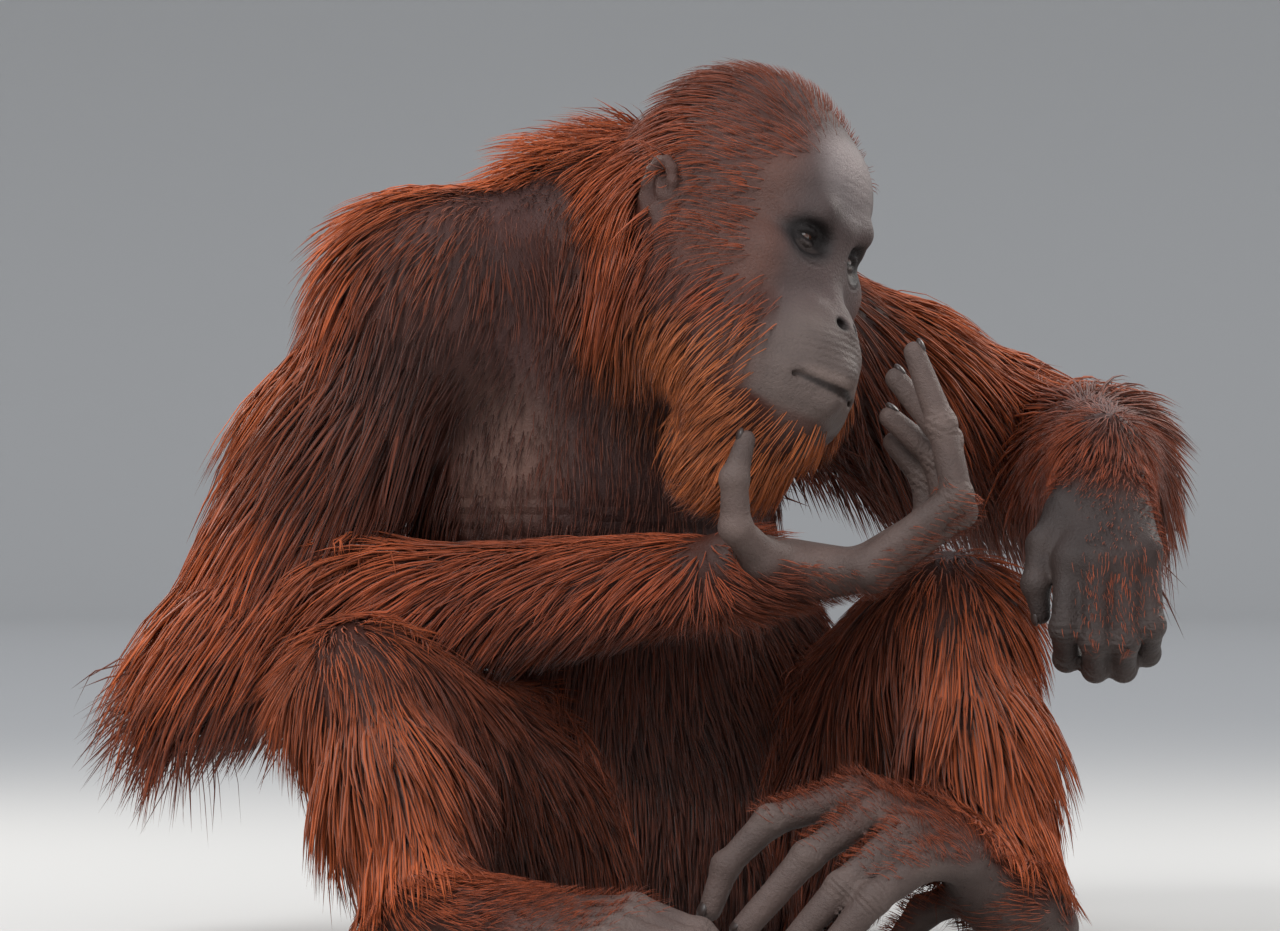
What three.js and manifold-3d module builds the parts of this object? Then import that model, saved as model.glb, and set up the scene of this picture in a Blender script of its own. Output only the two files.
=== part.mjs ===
// A seated orangutan at life size, as a still model: knees up, right hand cupped below the mouth,
// left elbow held out with the forearm forward and the hand hanging.
// Millimetres, +Z up, the floor at Z = 0. The animal sits facing -Y; its own right side is at -X.
import * as THREE from "three";
import { ConvexGeometry } from "three/addons/geometries/ConvexGeometry.js";
import { mergeVertices } from "three/addons/utils/BufferGeometryUtils.js";
import Module from "manifold-3d";

const wasm = await Module();
wasm.setup();
const { Manifold, Mesh: SolidMesh } = wasm;

// Driving dimensions
const GAP = 0.3; // clearance kept between neighbouring nodes
const BODY_CELL = 33; // size of a grid cell when the body is turned into faces
const LIMB_CELL = 30;
const HEAD_CELL = 14;

const at = (x, y, z) => new THREE.Vector3(x, y, z);
const mix = (a, b, t) => a.clone().lerp(b, t);

// Joint centres, right and left being the animal's own
const PELVIS = at(25, 128, 95);
const BELLY = at(8, 114, 215);
const CHEST = at(-52, 98, 385);
const NECK = at(-30, 90, 560);
const SHOULDER = { right: at(-184, 8, 530), left: at(82, 178, 500) };
const ELBOW = { right: at(-330, 14, 256), left: at(364, 332, 392) };
const WRIST = { right: at(58, -98, 304), left: at(352, -50, 396) };
const HIP = { right: at(-57, 106, 88), left: at(107, 150, 88) };
const KNEE = { right: at(-232, -88, 204), left: at(228, -44, 258) };
const ANKLE = { right: at(-176, -232, 50), left: at(272, -150, 52) };

// The head's own axes turn with it: +l to the animal's left, +f forward and +u up, from between the eyes.
const EYE_MIDDLE = at(124, -62, 561);
const HEAD_TURN = new THREE.Euler(
  THREE.MathUtils.degToRad(10.7),
  THREE.MathUtils.degToRad(18.4),
  THREE.MathUtils.degToRad(49.9),
  "ZXY",
);
const HEAD_FRAME = new THREE.Matrix4().makeRotationFromEuler(HEAD_TURN).setPosition(EYE_MIDDLE);
const HEAD_FRAME_BACK = HEAD_FRAME.clone().invert();
const onHead = (l, f, u) => at(l, -f, u).applyMatrix4(HEAD_FRAME);
const EYE_RADIUS = 12;
const EYE_SPREAD = 29; // half the distance between the eyes' centres
const EAR_AT = [82, -100, -4];

// Distance to a tapered limb from a to b, with radius ra at a and rb at b, under a coat of that depth
function cone(a, b, ra, rb, coat = 0) {
  const along = b.clone().sub(a);
  const squared = along.lengthSq() || 1;
  const thick = Math.max(ra, rb) + coat;
  return {
    coat,
    box: new THREE.Box3().setFromPoints([a, b]).expandByScalar(thick),
    distance(p) {
      const t = Math.min(1, Math.max(0, p.clone().sub(a).dot(along) / squared));
      return p.distanceTo(a.clone().addScaledVector(along, t)) - (ra + (rb - ra) * t);
    },
  };
}

// Distance to an egg of three half sizes, turned about +Z by degrees
function egg(centre, [rx, ry, rz], degrees = 0, coat = 0) {
  const c = Math.cos(THREE.MathUtils.degToRad(degrees));
  const s = Math.sin(THREE.MathUtils.degToRad(degrees));
  const wide = Math.max(rx, ry);
  return {
    coat,
    box: new THREE.Box3().setFromPoints([centre]).expandByVector(at(wide + coat, wide + coat, rz + coat)),
    distance(p) {
      const dx = p.x - centre.x;
      const dy = p.y - centre.y;
      const x = c * dx + s * dy;
      const y = c * dy - s * dx;
      const z = p.z - centre.z;
      const near = Math.hypot(x / rx, y / ry, z / rz);
      const slope = Math.hypot(x / rx / rx, y / ry / ry, z / rz / rz) || 1e-9;
      return near * (near - 1) / slope;
    },
  };
}

// The same shape read in the head's own axes
function inHead(shape) {
  return {
    coat: shape.coat,
    box: shape.box.clone().applyMatrix4(HEAD_FRAME),
    distance: (p) => shape.distance(p.clone().applyMatrix4(HEAD_FRAME_BACK)),
  };
}
const headCone = (a, b, ra, rb, coat) => inHead(cone(at(a[0], -a[1], a[2]), at(b[0], -b[1], b[2]), ra, rb, coat));
const headEgg = (c, radii, coat) => inHead(egg(at(c[0], -c[1], c[2]), radii, 0, coat));

function blend(a, b, k) {
  const h = Math.max(k - Math.abs(a - b), 0) / k;
  return Math.min(a, b) - h * h * k / 4;
}

// One smooth body from several shapes, grown by a share of their coats
function field(shapes, k, share) {
  return (p) => {
    let d = Infinity;
    for (const s of shapes) {
      const own = s.distance(p) - s.coat * share;
      d = d === Infinity ? own : blend(d, own, k);
    }
    return d;
  };
}

function slope(f, p) {
  const e = 1.5;
  const g = at(0, 0, 0);
  for (const axis of ["x", "y", "z"]) {
    const ahead = p.clone();
    const behind = p.clone();
    ahead[axis] += e;
    behind[axis] -= e;
    g[axis] = (f(ahead) - f(behind)) / (2 * e);
  }
  return g;
}

// Turns the zero surface of a field into a closed mesh, one vertex to each grid cell that the surface crosses
function surfaceOf(f, shapes, cell) {
  const room = shapes.reduce((box, s) => box.union(s.box), new THREE.Box3()).expandByScalar(cell * 2);
  const low = room.min;
  const high = room.max;
  const n = ["x", "y", "z"].map((k) => Math.ceil((high[k] - low[k]) / cell) + 1);
  const index = (i, j, k) => (k * n[1] + j) * n[0] + i;
  const point = (i, j, k) => at(low.x + i * cell, low.y + j * cell, low.z + k * cell);
  const value = new Float32Array(n[0] * n[1] * n[2]);
  for (let k = 0; k < n[2]; k++)
    for (let j = 0; j < n[1]; j++)
      for (let i = 0; i < n[0]; i++) value[index(i, j, k)] = f(point(i, j, k));
  const corners = [...Array(8).keys()].map((c) => [c & 1, (c >> 1) & 1, c >> 2]);
  const edges = [];
  for (let a = 0; a < 8; a++)
    for (const bit of [1, 2, 4]) if (!(a & bit)) edges.push([a, a | bit]);
  const vertexOf = new Int32Array(value.length).fill(-1);
  const places = [];
  for (let k = 0; k < n[2] - 1; k++)
    for (let j = 0; j < n[1] - 1; j++)
      for (let i = 0; i < n[0] - 1; i++) {
        const v = corners.map(([x, y, z]) => value[index(i + x, j + y, k + z)]);
        const sum = at(0, 0, 0);
        let crossings = 0;
        for (const [a, b] of edges) {
          if (v[a] < 0 === v[b] < 0) continue;
          const pa = point(i + corners[a][0], j + corners[a][1], k + corners[a][2]);
          const pb = point(i + corners[b][0], j + corners[b][1], k + corners[b][2]);
          sum.add(pa.lerp(pb, v[a] / (v[a] - v[b])));
          crossings += 1;
        }
        if (!crossings) continue;
        vertexOf[index(i, j, k)] = places.length;
        places.push(sum.divideScalar(crossings));
      }
  for (const p of places)
    for (let step = 0; step < 3; step++) {
      const g = slope(f, p);
      const move = THREE.MathUtils.clamp(-f(p) / Math.max(g.lengthSq(), 0.05), -cell / 4, cell / 4);
      p.addScaledVector(g, move);
    }
  const faces = [];
  const quad = (a, b, c, d) => {
    const even = places[a].distanceTo(places[c]) < places[b].distanceTo(places[d]);
    faces.push(...(even ? [a, b, c, a, c, d] : [b, c, d, b, d, a]));
  };
  const ways = [
    [[1, 0, 0], [0, 1, 0], [0, 0, 1]],
    [[0, 1, 0], [0, 0, 1], [1, 0, 0]],
    [[0, 0, 1], [1, 0, 0], [0, 1, 0]],
  ];
  for (let k = 1; k < n[2] - 1; k++)
    for (let j = 1; j < n[1] - 1; j++)
      for (let i = 1; i < n[0] - 1; i++)
        for (const [e, u, w] of ways) {
          const here = value[index(i, j, k)] < 0;
          if (here === value[index(i + e[0], j + e[1], k + e[2])] < 0) continue;
          const around = [[1, 1], [0, 1], [0, 0], [1, 0]].map(([a, b]) =>
            vertexOf[index(i - a * u[0] - b * w[0], j - a * u[1] - b * w[1], k - a * u[2] - b * w[2])]);
          quad(...(here ? around : around.reverse()));
        }
  return new THREE.BufferGeometry()
    .setAttribute("position", new THREE.Float32BufferAttribute(places.flatMap((p) => [p.x, p.y, p.z]), 3))
    .setIndex(faces);
}

function solidOf(geometry) {
  const bare = geometry.index ? geometry.toNonIndexed() : geometry.clone();
  bare.deleteAttribute("normal");
  bare.deleteAttribute("uv");
  const merged = mergeVertices(bare, 1e-3);
  return new Manifold(new SolidMesh({
    numProp: 3,
    vertProperties: merged.attributes.position.array,
    triVerts: new Uint32Array(merged.index.array),
  }));
}

function geometryOf(solid) {
  const m = solid.getMesh();
  const places = new Float32Array(m.numVert * 3);
  for (let i = 0; i < m.numVert; i++) places.set(m.vertProperties.subarray(i * m.numProp, i * m.numProp + 3), i * 3);
  return new THREE.BufferGeometry()
    .setAttribute("position", new THREE.BufferAttribute(places, 3))
    .setIndex(new THREE.BufferAttribute(m.triVerts, 1));
}

const joined = (solids) => solids.reduce((a, b) => a.add(b));

function largest(solid) {
  return solid.decompose().reduce((a, b) => (a.volume() > b.volume() ? a : b));
}

// A round block that starts at a joint's face and runs out along its way, gap being how far off the face it starts
function plug(centre, way, radius, long, gap = 0) {
  const turn = new THREE.Quaternion().setFromUnitVectors(at(0, 1, 0), way.clone().normalize());
  const m = new THREE.Matrix4().compose(centre, turn, at(1, 1, 1));
  return solidOf(new THREE.CylinderGeometry(radius, radius, long, 20).translate(0, long / 2 + gap, 0).applyMatrix4(m));
}

// Keeps what lies beyond a joint's face
function beyond(solid, centre, way, gap = 0) {
  const n = way.clone().normalize();
  return largest(solid.trimByPlane([n.x, n.y, n.z], n.dot(centre) + gap));
}

// A bent tapering tube through the points, closed and rounded at both ends
function tube(points, radii, sides = 6) {
  const rings = [];
  let side = null;
  points.forEach((p, i) => {
    const before = points[Math.max(i - 1, 0)];
    const after = points[Math.min(i + 1, points.length - 1)];
    const way = after.clone().sub(before).normalize();
    side = side ? side.addScaledVector(way, -side.dot(way)).normalize()
      : at(0.31, 0.42, 0.85).cross(way).normalize();
    const up = way.clone().cross(side);
    const ring = (offset, r) => rings.push([...Array(sides).keys()].map((k) => {
      const angle = k / sides * 2 * Math.PI;
      return p.clone().addScaledVector(way, offset)
        .addScaledVector(side, Math.cos(angle) * r).addScaledVector(up, Math.sin(angle) * r);
    }));
    if (i === 0) ring(-radii[0] * 0.6, radii[0] * 0.7);
    ring(0, radii[i]);
    if (i === points.length - 1) ring(radii[i] * 0.65, radii[i] * 0.62);
  });
  return loft(rings);
}

// Closed skin over a row of rings with the same number of points; a ring of one point makes a tip
function loft(rings) {
  const places = [];
  const faces = [];
  const starts = rings.map((ring) => {
    places.push(...ring);
    return places.length - ring.length;
  });
  for (let i = 0; i + 1 < rings.length; i++) {
    const n = Math.max(rings[i].length, rings[i + 1].length);
    for (let k = 0; k < n; k++) {
      const next = (k + 1) % n;
      const [a, b] = rings[i].length > 1 ? [starts[i] + k, starts[i] + next] : [starts[i], starts[i]];
      const [c, d] = rings[i + 1].length > 1 ? [starts[i + 1] + k, starts[i + 1] + next] : [starts[i + 1], starts[i + 1]];
      if (a !== b) faces.push(a, b, d);
      if (c !== d) faces.push(a, d, c);
    }
  }
  for (const [ring, start, flip] of [[rings[0], starts[0], true], [rings.at(-1), starts.at(-1), false]])
    for (let k = 1; k + 1 < ring.length; k++)
      faces.push(start, start + k + (flip ? 1 : 0), start + k + (flip ? 0 : 1));
  return new THREE.BufferGeometry()
    .setAttribute("position", new THREE.Float32BufferAttribute(places.flatMap((p) => [p.x, p.y, p.z]), 3))
    .setIndex(faces);
}

// A closed hull round balls of the given radii
function hull(balls) {
  const points = [];
  for (const [centre, r] of balls) {
    const ball = new THREE.IcosahedronGeometry(r, 0).attributes.position;
    for (let i = 0; i < ball.count; i++) points.push(new THREE.Vector3().fromBufferAttribute(ball, i).add(centre));
  }
  return new ConvexGeometry(points);
}

// Everything above the floor
const ROOM = solidOf(new THREE.BoxGeometry(2400, 2400, 1200).translate(0, 0, 600));

const TORSO = [
  egg(PELVIS, [122, 108, 104], 15, 10),
  egg(BELLY, [134, 112, 125], 22, 6),
  egg(CHEST, [158, 118, 150], 33, 8),
  egg(at(-40, 128, 505), [128, 92, 96], 33, 22),
  cone(SHOULDER.right, at(-70, 80, 560), 62, 74, 14),
  cone(SHOULDER.left, at(0, 120, 550), 60, 74, 14),
  cone(at(-92, 28, 470), at(-150, 10, 500), 60, 58, 4),
];
const NECK_SHAPES = [
  cone(NECK, onHead(0, -105, -5), 84, 80, 12),
  cone(onHead(0, -88, -60), at(-5, 52, 470), 80, 74, 3),
];
const UPPER_ARM = Object.fromEntries(["right", "left"].map((side) => [side, [
  cone(SHOULDER[side], mix(SHOULDER[side], ELBOW[side], 0.35), 68, 60, 34),
  cone(mix(SHOULDER[side], ELBOW[side], 0.35), ELBOW[side], 60, 44, 34),
]]));
// Long hair that hangs clear of the arm: it has no core of its own
const FRINGE = {
  right: [
    cone(at(-280, 40, 440), at(-390, 30, 240), -70, -62, 112),
    cone(at(-390, 30, 240), at(-372, 26, 196), -62, -66, 112),
  ],
  left: [cone(at(230, 262, 400), at(372, 340, 340), -76, -74, 112)],
};
const FOREARM = Object.fromEntries(["right", "left"].map((side) => [side, [
  cone(ELBOW[side], mix(ELBOW[side], WRIST[side], 0.3), 45, 47, 26),
  cone(mix(ELBOW[side], WRIST[side], 0.3), WRIST[side], 47, 29, 14),
]]));
const THIGH = Object.fromEntries(["right", "left"].map((side) => [side, [
  cone(HIP[side], KNEE[side], 84, 54, 16),
]]));
const SHIN = Object.fromEntries(["right", "left"].map((side) => [side, [
  cone(KNEE[side], mix(KNEE[side], ANKLE[side], 0.4), 50, 46, 26),
  cone(mix(KNEE[side], ANKLE[side], 0.4), ANKLE[side], 46, 30, 26),
]]));
const HEAD = [
  headEgg([0, -78, 24], [74, 96, 90], 4),
  headEgg([0, -98, 72], [54, 70, 56], 12),
  headEgg([0, -26, 38], [54, 42, 46], 2),
  headCone([-52, -6, -24], [-64, -62, -26], 19, 26, 2),
  headCone([52, -6, -24], [64, -62, -26], 19, 26, 2),
  headEgg([0, -4, -36], [48, 34, 46], 0),
  headEgg([-46, -36, -78], [34, 54, 56], 6),
  headEgg([46, -36, -78], [34, 54, 56], 6),
  headEgg([0, 26, -88], [47, 44, 44], 0),
  headEgg([-46, -2, -118], [36, 46, 44], 10),
  headEgg([46, -2, -118], [36, 46, 44], 10),
  headEgg([0, 16, -136], [42, 44, 32], 8),
  headEgg([0, -16, -172], [52, 52, 42], 8),
];
const BROW = [
  headCone([-48, -2, 12], [-28, 14, 23], 8, 9),
  headCone([-28, 14, 23], [0, 15, 17], 9, 9),
  headCone([48, -2, 12], [28, 14, 23], 8, 9),
  headCone([28, 14, 23], [0, 15, 17], 9, 9),
  headCone([0, 13, 16], [0, 14, -10], 10, 8),
];
const SOCKET = [
  headEgg([-EYE_SPREAD, 16, -1], [15, 14, 12]),
  headEgg([EYE_SPREAD, 16, -1], [15, 14, 12]),
];

const BODY_BLEND = 40;
const LIMB_BLEND = 30;
const HEAD_BLEND = 26;
const BROW_BLEND = 14;
const SIDES = ["right", "left"];
const bySide = (make) => Object.fromEntries(SIDES.map((side) => [side, make(side)]));

// Faces where the nodes meet: a point and the way out of the body
const NECK_END = [onHead(0, -125, -60), onHead(0, 0.87, 0.5).sub(onHead(0, 0, 0))];
const NECK_START = [NECK_END[0].clone().addScaledVector(NECK_END[1], -58), NECK_END[1]];
const SHOULDER_FACE = {
  right: [at(-151, 22, 545), at(-0.82, -0.35, -0.45)],
  left: [at(98, 184, 492), at(0.85, 0.35, -0.3)],
};
const ELBOW_FACE = bySide((side) => [ELBOW[side], WRIST[side].clone().sub(SHOULDER[side])]);
const WRIST_FACE = bySide((side) => [WRIST[side], WRIST[side].clone().sub(ELBOW[side])]);
const HIP_FACE = bySide((side) => [mix(HIP[side], KNEE[side], 0.36), KNEE[side].clone().sub(HIP[side])]);
const KNEE_FACE = bySide((side) => [KNEE[side], ANKLE[side].clone().sub(HIP[side])]);
const ANKLE_FACE = bySide((side) => [ANKLE[side], ANKLE[side].clone().sub(KNEE[side])]);
const back = (way) => way.clone().negate();

const TRUNK_SHAPES = [
  ...TORSO, ...NECK_SHAPES,
  ...SIDES.flatMap((side) => [
    cone(SHOULDER[side], mix(SHOULDER[side], ELBOW[side], 0.2), 68, 63, 30),
    cone(HIP[side], mix(HIP[side], KNEE[side], 0.45), 84, 70, 16),
  ]),
];
const UPPER_ARM_SHAPES = bySide((side) => [
  ...UPPER_ARM[side], ...FRINGE[side], cone(ELBOW[side], mix(ELBOW[side], WRIST[side], 0.2), 45, 46, 26)
]);
const FOREARM_SHAPES = bySide((side) => [
  cone(mix(SHOULDER[side], ELBOW[side], 0.75), ELBOW[side], 48, 44, 34), ...FOREARM[side],
  cone(WRIST[side], mix(ELBOW[side], WRIST[side], 1.08), 29, 29, 4),
]);
const THIGH_SHAPES = bySide((side) => [
  ...THIGH[side], cone(KNEE[side], mix(KNEE[side], ANKLE[side], 0.2), 50, 48, 26)
]);
const SHIN_SHAPES = bySide((side) => [
  cone(mix(HIP[side], KNEE[side], 0.75), KNEE[side], 60, 54, 16), ...SHIN[side],
  cone(ANKLE[side], mix(KNEE[side], ANKLE[side], 1.1), 30, 28, 10),
]);
const HEAD_SHAPES = [...HEAD, ...NECK_SHAPES];
const headField = (share) => {
  const skull = field(HEAD_SHAPES, HEAD_BLEND, share);
  const brow = field(BROW, BROW_BLEND, 0);
  const socket = field(SOCKET, 1, 0);
  return (p) => -blend(-blend(skull(p), brow(p), BROW_BLEND), socket(p), 8);
};

const share = 1;
const fields = {
  trunk: field(TRUNK_SHAPES, BODY_BLEND, share),
  head: headField(share),
  ...Object.fromEntries(SIDES.flatMap((side) => [
    [`upper_arm_${side}`, field(UPPER_ARM_SHAPES[side], LIMB_BLEND, share)],
    [`forearm_${side}`, field(FOREARM_SHAPES[side], LIMB_BLEND, share)],
    [`thigh_${side}`, field(THIGH_SHAPES[side], LIMB_BLEND, share)],
    [`shin_${side}`, field(SHIN_SHAPES[side], LIMB_BLEND, share)],
  ])),
};

// The same body a little larger, to keep its neighbours clear of it
const CLEAR = 1.2;
const swollen = (f, shapes, cell) => solidOf(surfaceOf((p) => f(p) - CLEAR, shapes, cell));
const fatLimb = (name, shapes, side) => swollen(fields[`${name}_${side}`], shapes[side], LIMB_CELL);

const nodes = new Map();
const trunk = solidOf(surfaceOf(fields.trunk, TRUNK_SHAPES, BODY_CELL)).intersect(ROOM);
const fatTrunk = swollen(fields.trunk, TRUNK_SHAPES, BODY_CELL);
const SHOULDER_REACH = 122;
const HIP_REACH = 98;
const shoulderPlug = (side, less = 0) => plug(...SHOULDER_FACE[side], SHOULDER_REACH - less, 170);
const hipPlug = (side, less = 0) => plug(...HIP_FACE[side], HIP_REACH - less, 180);
let torso = trunk.subtract(plug(...NECK_START, 150, 300));
for (const side of SIDES) torso = torso.subtract(shoulderPlug(side)).subtract(hipPlug(side));
const fatHead = beyond(swollen(fields.head, HEAD_SHAPES, HEAD_CELL), ...NECK_END);
nodes.set("torso", largest(torso.subtract(fatHead)));
nodes.set("neck", largest(trunk.intersect(plug(...NECK_START, 149.6, 300, GAP))
  .trimByPlane(NECK_END[1].clone().negate().toArray(), -NECK_END[0].dot(NECK_END[1]) + GAP)));
for (const side of SIDES) {
  const make = (name, shapes) => solidOf(surfaceOf(fields[`${name}_${side}`], shapes[side], LIMB_CELL)).intersect(ROOM);
  const rest = fatTrunk.subtract(shoulderPlug(side, CLEAR));
  const upper = beyond(make("upper_arm", UPPER_ARM_SHAPES), ...SHOULDER_FACE[side], GAP).subtract(rest);
  nodes.set(`upper_arm_${side}`, beyond(upper, ELBOW_FACE[side][0], back(ELBOW_FACE[side][1]), GAP / 2));
  const fore = beyond(make("forearm", FOREARM_SHAPES), ...ELBOW_FACE[side], GAP / 2);
  const pressed = fore.subtract(fatTrunk).subtract(fatLimb("thigh", THIGH_SHAPES, side))
    .subtract(beyond(fatLimb("shin", SHIN_SHAPES, side), ...KNEE_FACE[side]));
  nodes.set(`forearm_${side}`, beyond(pressed, WRIST_FACE[side][0], back(WRIST_FACE[side][1]), GAP));
  const thigh = beyond(make("thigh", THIGH_SHAPES), ...HIP_FACE[side], GAP).subtract(fatTrunk.subtract(hipPlug(side, CLEAR)));
  nodes.set(`thigh_${side}`, beyond(thigh, KNEE_FACE[side][0], back(KNEE_FACE[side][1]), GAP / 2));
  const shin = beyond(make("shin", SHIN_SHAPES), ...KNEE_FACE[side], GAP / 2);
  nodes.set(`shin_${side}`, beyond(shin, ANKLE_FACE[side][0], back(ANKLE_FACE[side][1]), GAP));
}

// The head, with lids, nostrils and the mouth line, and the eyeballs in their sockets
const ball = (centre, [a, b, c], wide = 12, high = 8) =>
  solidOf(new THREE.SphereGeometry(1, wide, high).scale(a, b, c).translate(centre[0], -centre[1], centre[2])
    .applyMatrix4(HEAD_FRAME));
let head = solidOf(surfaceOf(fields.head, HEAD_SHAPES, HEAD_CELL));
head = beyond(head, ...NECK_END, GAP);
const ring = (centre, [a, b, c], thick, arc) => solidOf(
  new THREE.TorusGeometry(1, thick / a, 5, 14, arc).rotateX(Math.PI / 2).scale(a, b, c)
    .translate(centre[0], -centre[1], centre[2]).applyMatrix4(HEAD_FRAME));
const LID_THICK = 3.4;
for (const l of [-1, 1]) {
  const eyeAt = [l * EYE_SPREAD, 0, 0];
  head = head.add(ring([eyeAt[0], 8, 0], [11.6, 11.6, 7.2], LID_THICK, 2 * Math.PI))
    .subtract(ball(eyeAt, Array(3).fill(EYE_RADIUS + GAP)))
    .subtract(ball([l * 8.5, 46, -56], [5.5, 9, 4.5], 10, 6));
  nodes.set(l < 0 ? "eye_right" : "eye_left", ball(eyeAt, Array(3).fill(EYE_RADIUS)));
}
const lipLine = [...Array(11).keys()].map((i) => {
  const turn = (i / 10 - 0.5) * Math.PI * 0.86;
  return onHead(Math.sin(turn) * 45, 27 + Math.cos(turn) * 45, -106 - 5 * Math.abs(Math.sin(turn)));
});
nodes.set("head", largest(head.subtract(solidOf(tube(lipLine, lipLine.map(() => 3.2), 4)))));
for (const l of [-1, 1]) {
  const cup = [l * (EAR_AT[0] + 18), EAR_AT[1] + 2, EAR_AT[2] + 2];
  const ear = ball([l * (EAR_AT[0] + 8), EAR_AT[1], EAR_AT[2]], [11, 16, 24], 12, 10).subtract(ball(cup, [8, 10, 17], 10, 8));
  nodes.set(l < 0 ? "ear_right" : "ear_left", largest(ear.subtract(fatHead)));
}

// Hands and feet: tapering fingers and toes on a palm or sole
const FINGERS = {
  right: [
    [at(160, -148, 308), at(230, -152, 364), at(218, -150, 420), at(197, -146, 476)],
    [at(166, -127, 304), at(234, -124, 352), at(224, -118, 408), at(184, -114, 456)],
    [at(163, -106, 305), at(226, -98, 348), at(218, -92, 393), at(180, -92, 426)],
    [at(154, -88, 308), at(212, -76, 345), at(209, -72, 378), at(184, -72, 406)],
  ],
  left: [
    [at(318, -146, 314), at(312, -164, 262), at(316, -136, 238), at(324, -108, 252)],
    [at(338, -154, 314), at(335, -172, 252), at(338, -142, 230), at(344, -112, 246)],
    [at(359, -152, 316), at(359, -168, 252), at(360, -138, 230), at(364, -108, 248)],
    [at(376, -142, 322), at(380, -156, 264), at(379, -130, 242), at(378, -104, 258)],
  ],
};
const THUMB = {
  right: [at(82, -132, 312), at(58, -156, 340), at(57, -162, 378), at(66, -160, 408)],
  left: [at(318, -112, 352), at(298, -128, 326), at(292, -138, 296), at(296, -136, 272)],
};
const FINGER_RADII = { right: [15, 13.5, 12, 9.5], left: [13, 11.5, 10.5, 9] };
const THUMB_RADII = [17, 13, 11.5, 8.5];
const TOES = {
  right: [
    [at(-70, -262, 46), at(-20, -270, 50), at(28, -282, 34), at(58, -288, 9)],
    [at(-74, -284, 38), at(-22, -296, 44), at(24, -306, 28), at(54, -312, 8)],
    [at(-78, -304, 32), at(-30, -320, 38), at(14, -330, 26), at(44, -336, 8)],
    [at(-84, -320, 26), at(-42, -340, 30), at(-2, -352, 24), at(26, -358, 8)],
  ],
  left: [
    [at(206, -150, 112), at(150, -172, 134), at(84, -184, 114), at(50, -190, 80), at(38, -192, 46)],
    [at(214, -172, 108), at(166, -192, 124), at(112, -208, 88), at(64, -216, 34)],
    [at(224, -190, 98), at(186, -210, 106), at(138, -226, 66), at(96, -232, 16)],
    [at(232, -206, 84), at(200, -224, 84), at(162, -240, 58), at(122, -246, 9)],
  ],
};
const BIG_TOE = {
  right: [at(-130, -214, 34), at(-102, -196, 28), at(-84, -188, 9)],
  left: [at(240, -138, 56), at(206, -120, 40), at(184, -116, 9)],
};
const HEEL = { right: at(-206, -216, 26), left: at(300, -132, 26) };
const TOE_RADII = [17, 15, 13.5, 11.5, 10];
for (const side of SIDES) {
  const long = WRIST_FACE[side][1].clone().normalize();
  const wristBall = [WRIST[side].clone().addScaledVector(long, side === "right" ? 10 : 8), 27];
  const handOf = (extra) => joined([
    solidOf(hull([[wristBall[0], wristBall[1] + extra], ...FINGERS[side].map((f) => [f[0], 15 + extra]),
      [THUMB[side][0], 15 + extra]])),
    ...FINGERS[side].map((f) => solidOf(tube(f, FINGER_RADII[side].map((radius) => radius + extra)))),
    solidOf(tube(THUMB[side], THUMB_RADII.map((radius) => radius + extra))),
    solidOf(tube([mix(ELBOW[side], WRIST[side], 0.95), wristBall[0]], [29 + extra, 28 + extra], 12)),
  ]);
  nodes.set(`hand_${side}`, beyond(handOf(0), ...WRIST_FACE[side]));
  if (side === "right")
    for (const name of ["thigh_left", "shin_left"])
      nodes.set(name, largest(nodes.get(name).subtract(handOf(CLEAR))));
  const down = ANKLE_FACE[side][1].clone().normalize();
  const sole = hull([[ANKLE[side].clone().addScaledVector(down, 4), 29], [HEEL[side], 28],
    ...TOES[side].map((t) => [t[0], 17])]);
  const foot = joined([solidOf(sole), ...TOES[side].map((t) => solidOf(tube(t, TOE_RADII))),
    solidOf(tube(BIG_TOE[side], [16, 14, 11])),
    solidOf(tube([ANKLE[side], ANKLE[side].clone().addScaledVector(down, 6)], [30, 30], 12))]);
  const fatShin = fatLimb("shin", SHIN_SHAPES, side);
  const leg = beyond(fatShin, ANKLE_FACE[side][0], back(ANKLE_FACE[side][1]));
  nodes.set(`foot_${side}`, largest(foot.subtract(leg).intersect(ROOM)));
}

const COLOURS = { coat: 0x8a3b1c, skin: 0x5b514c, eye: 0x1c120c };
const colourOf = (name) => (name.startsWith("eye") ? COLOURS.eye : /ear|hand|foot|neck/.test(name) ? COLOURS.skin : COLOURS.coat);
const middle = new THREE.Box3();
for (const solid of nodes.values()) {
  const { min, max } = solid.boundingBox();
  middle.union(new THREE.Box3(at(...min), at(...max)));
}
const orangutan = new THREE.Group();
for (const [name, solid] of nodes) {
  const look = new THREE.MeshStandardMaterial({ color: colourOf(name), roughness: 0.9, metalness: 0 });
  const mesh = new THREE.Mesh(geometryOf(solid), look);
  mesh.position.set(-(middle.min.x + middle.max.x) / 2, -(middle.min.y + middle.max.y) / 2, -middle.min.z);
  mesh.name = name;
  orangutan.add(mesh);
}

export default orangutan;
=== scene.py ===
# %% [markdown]
# A seated orangutan, life size, as a still model. The solids give its size and pose.
# Here they are dressed: one skin over all the flesh, then a coat of many thin mesh tufts.
# We first load the solids and keep their box, because the dressed animal is kept inside it.

# %% Load the solids
import math
import bpy
import numpy as np
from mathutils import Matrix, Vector
from mathutils.kdtree import KDTree


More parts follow.
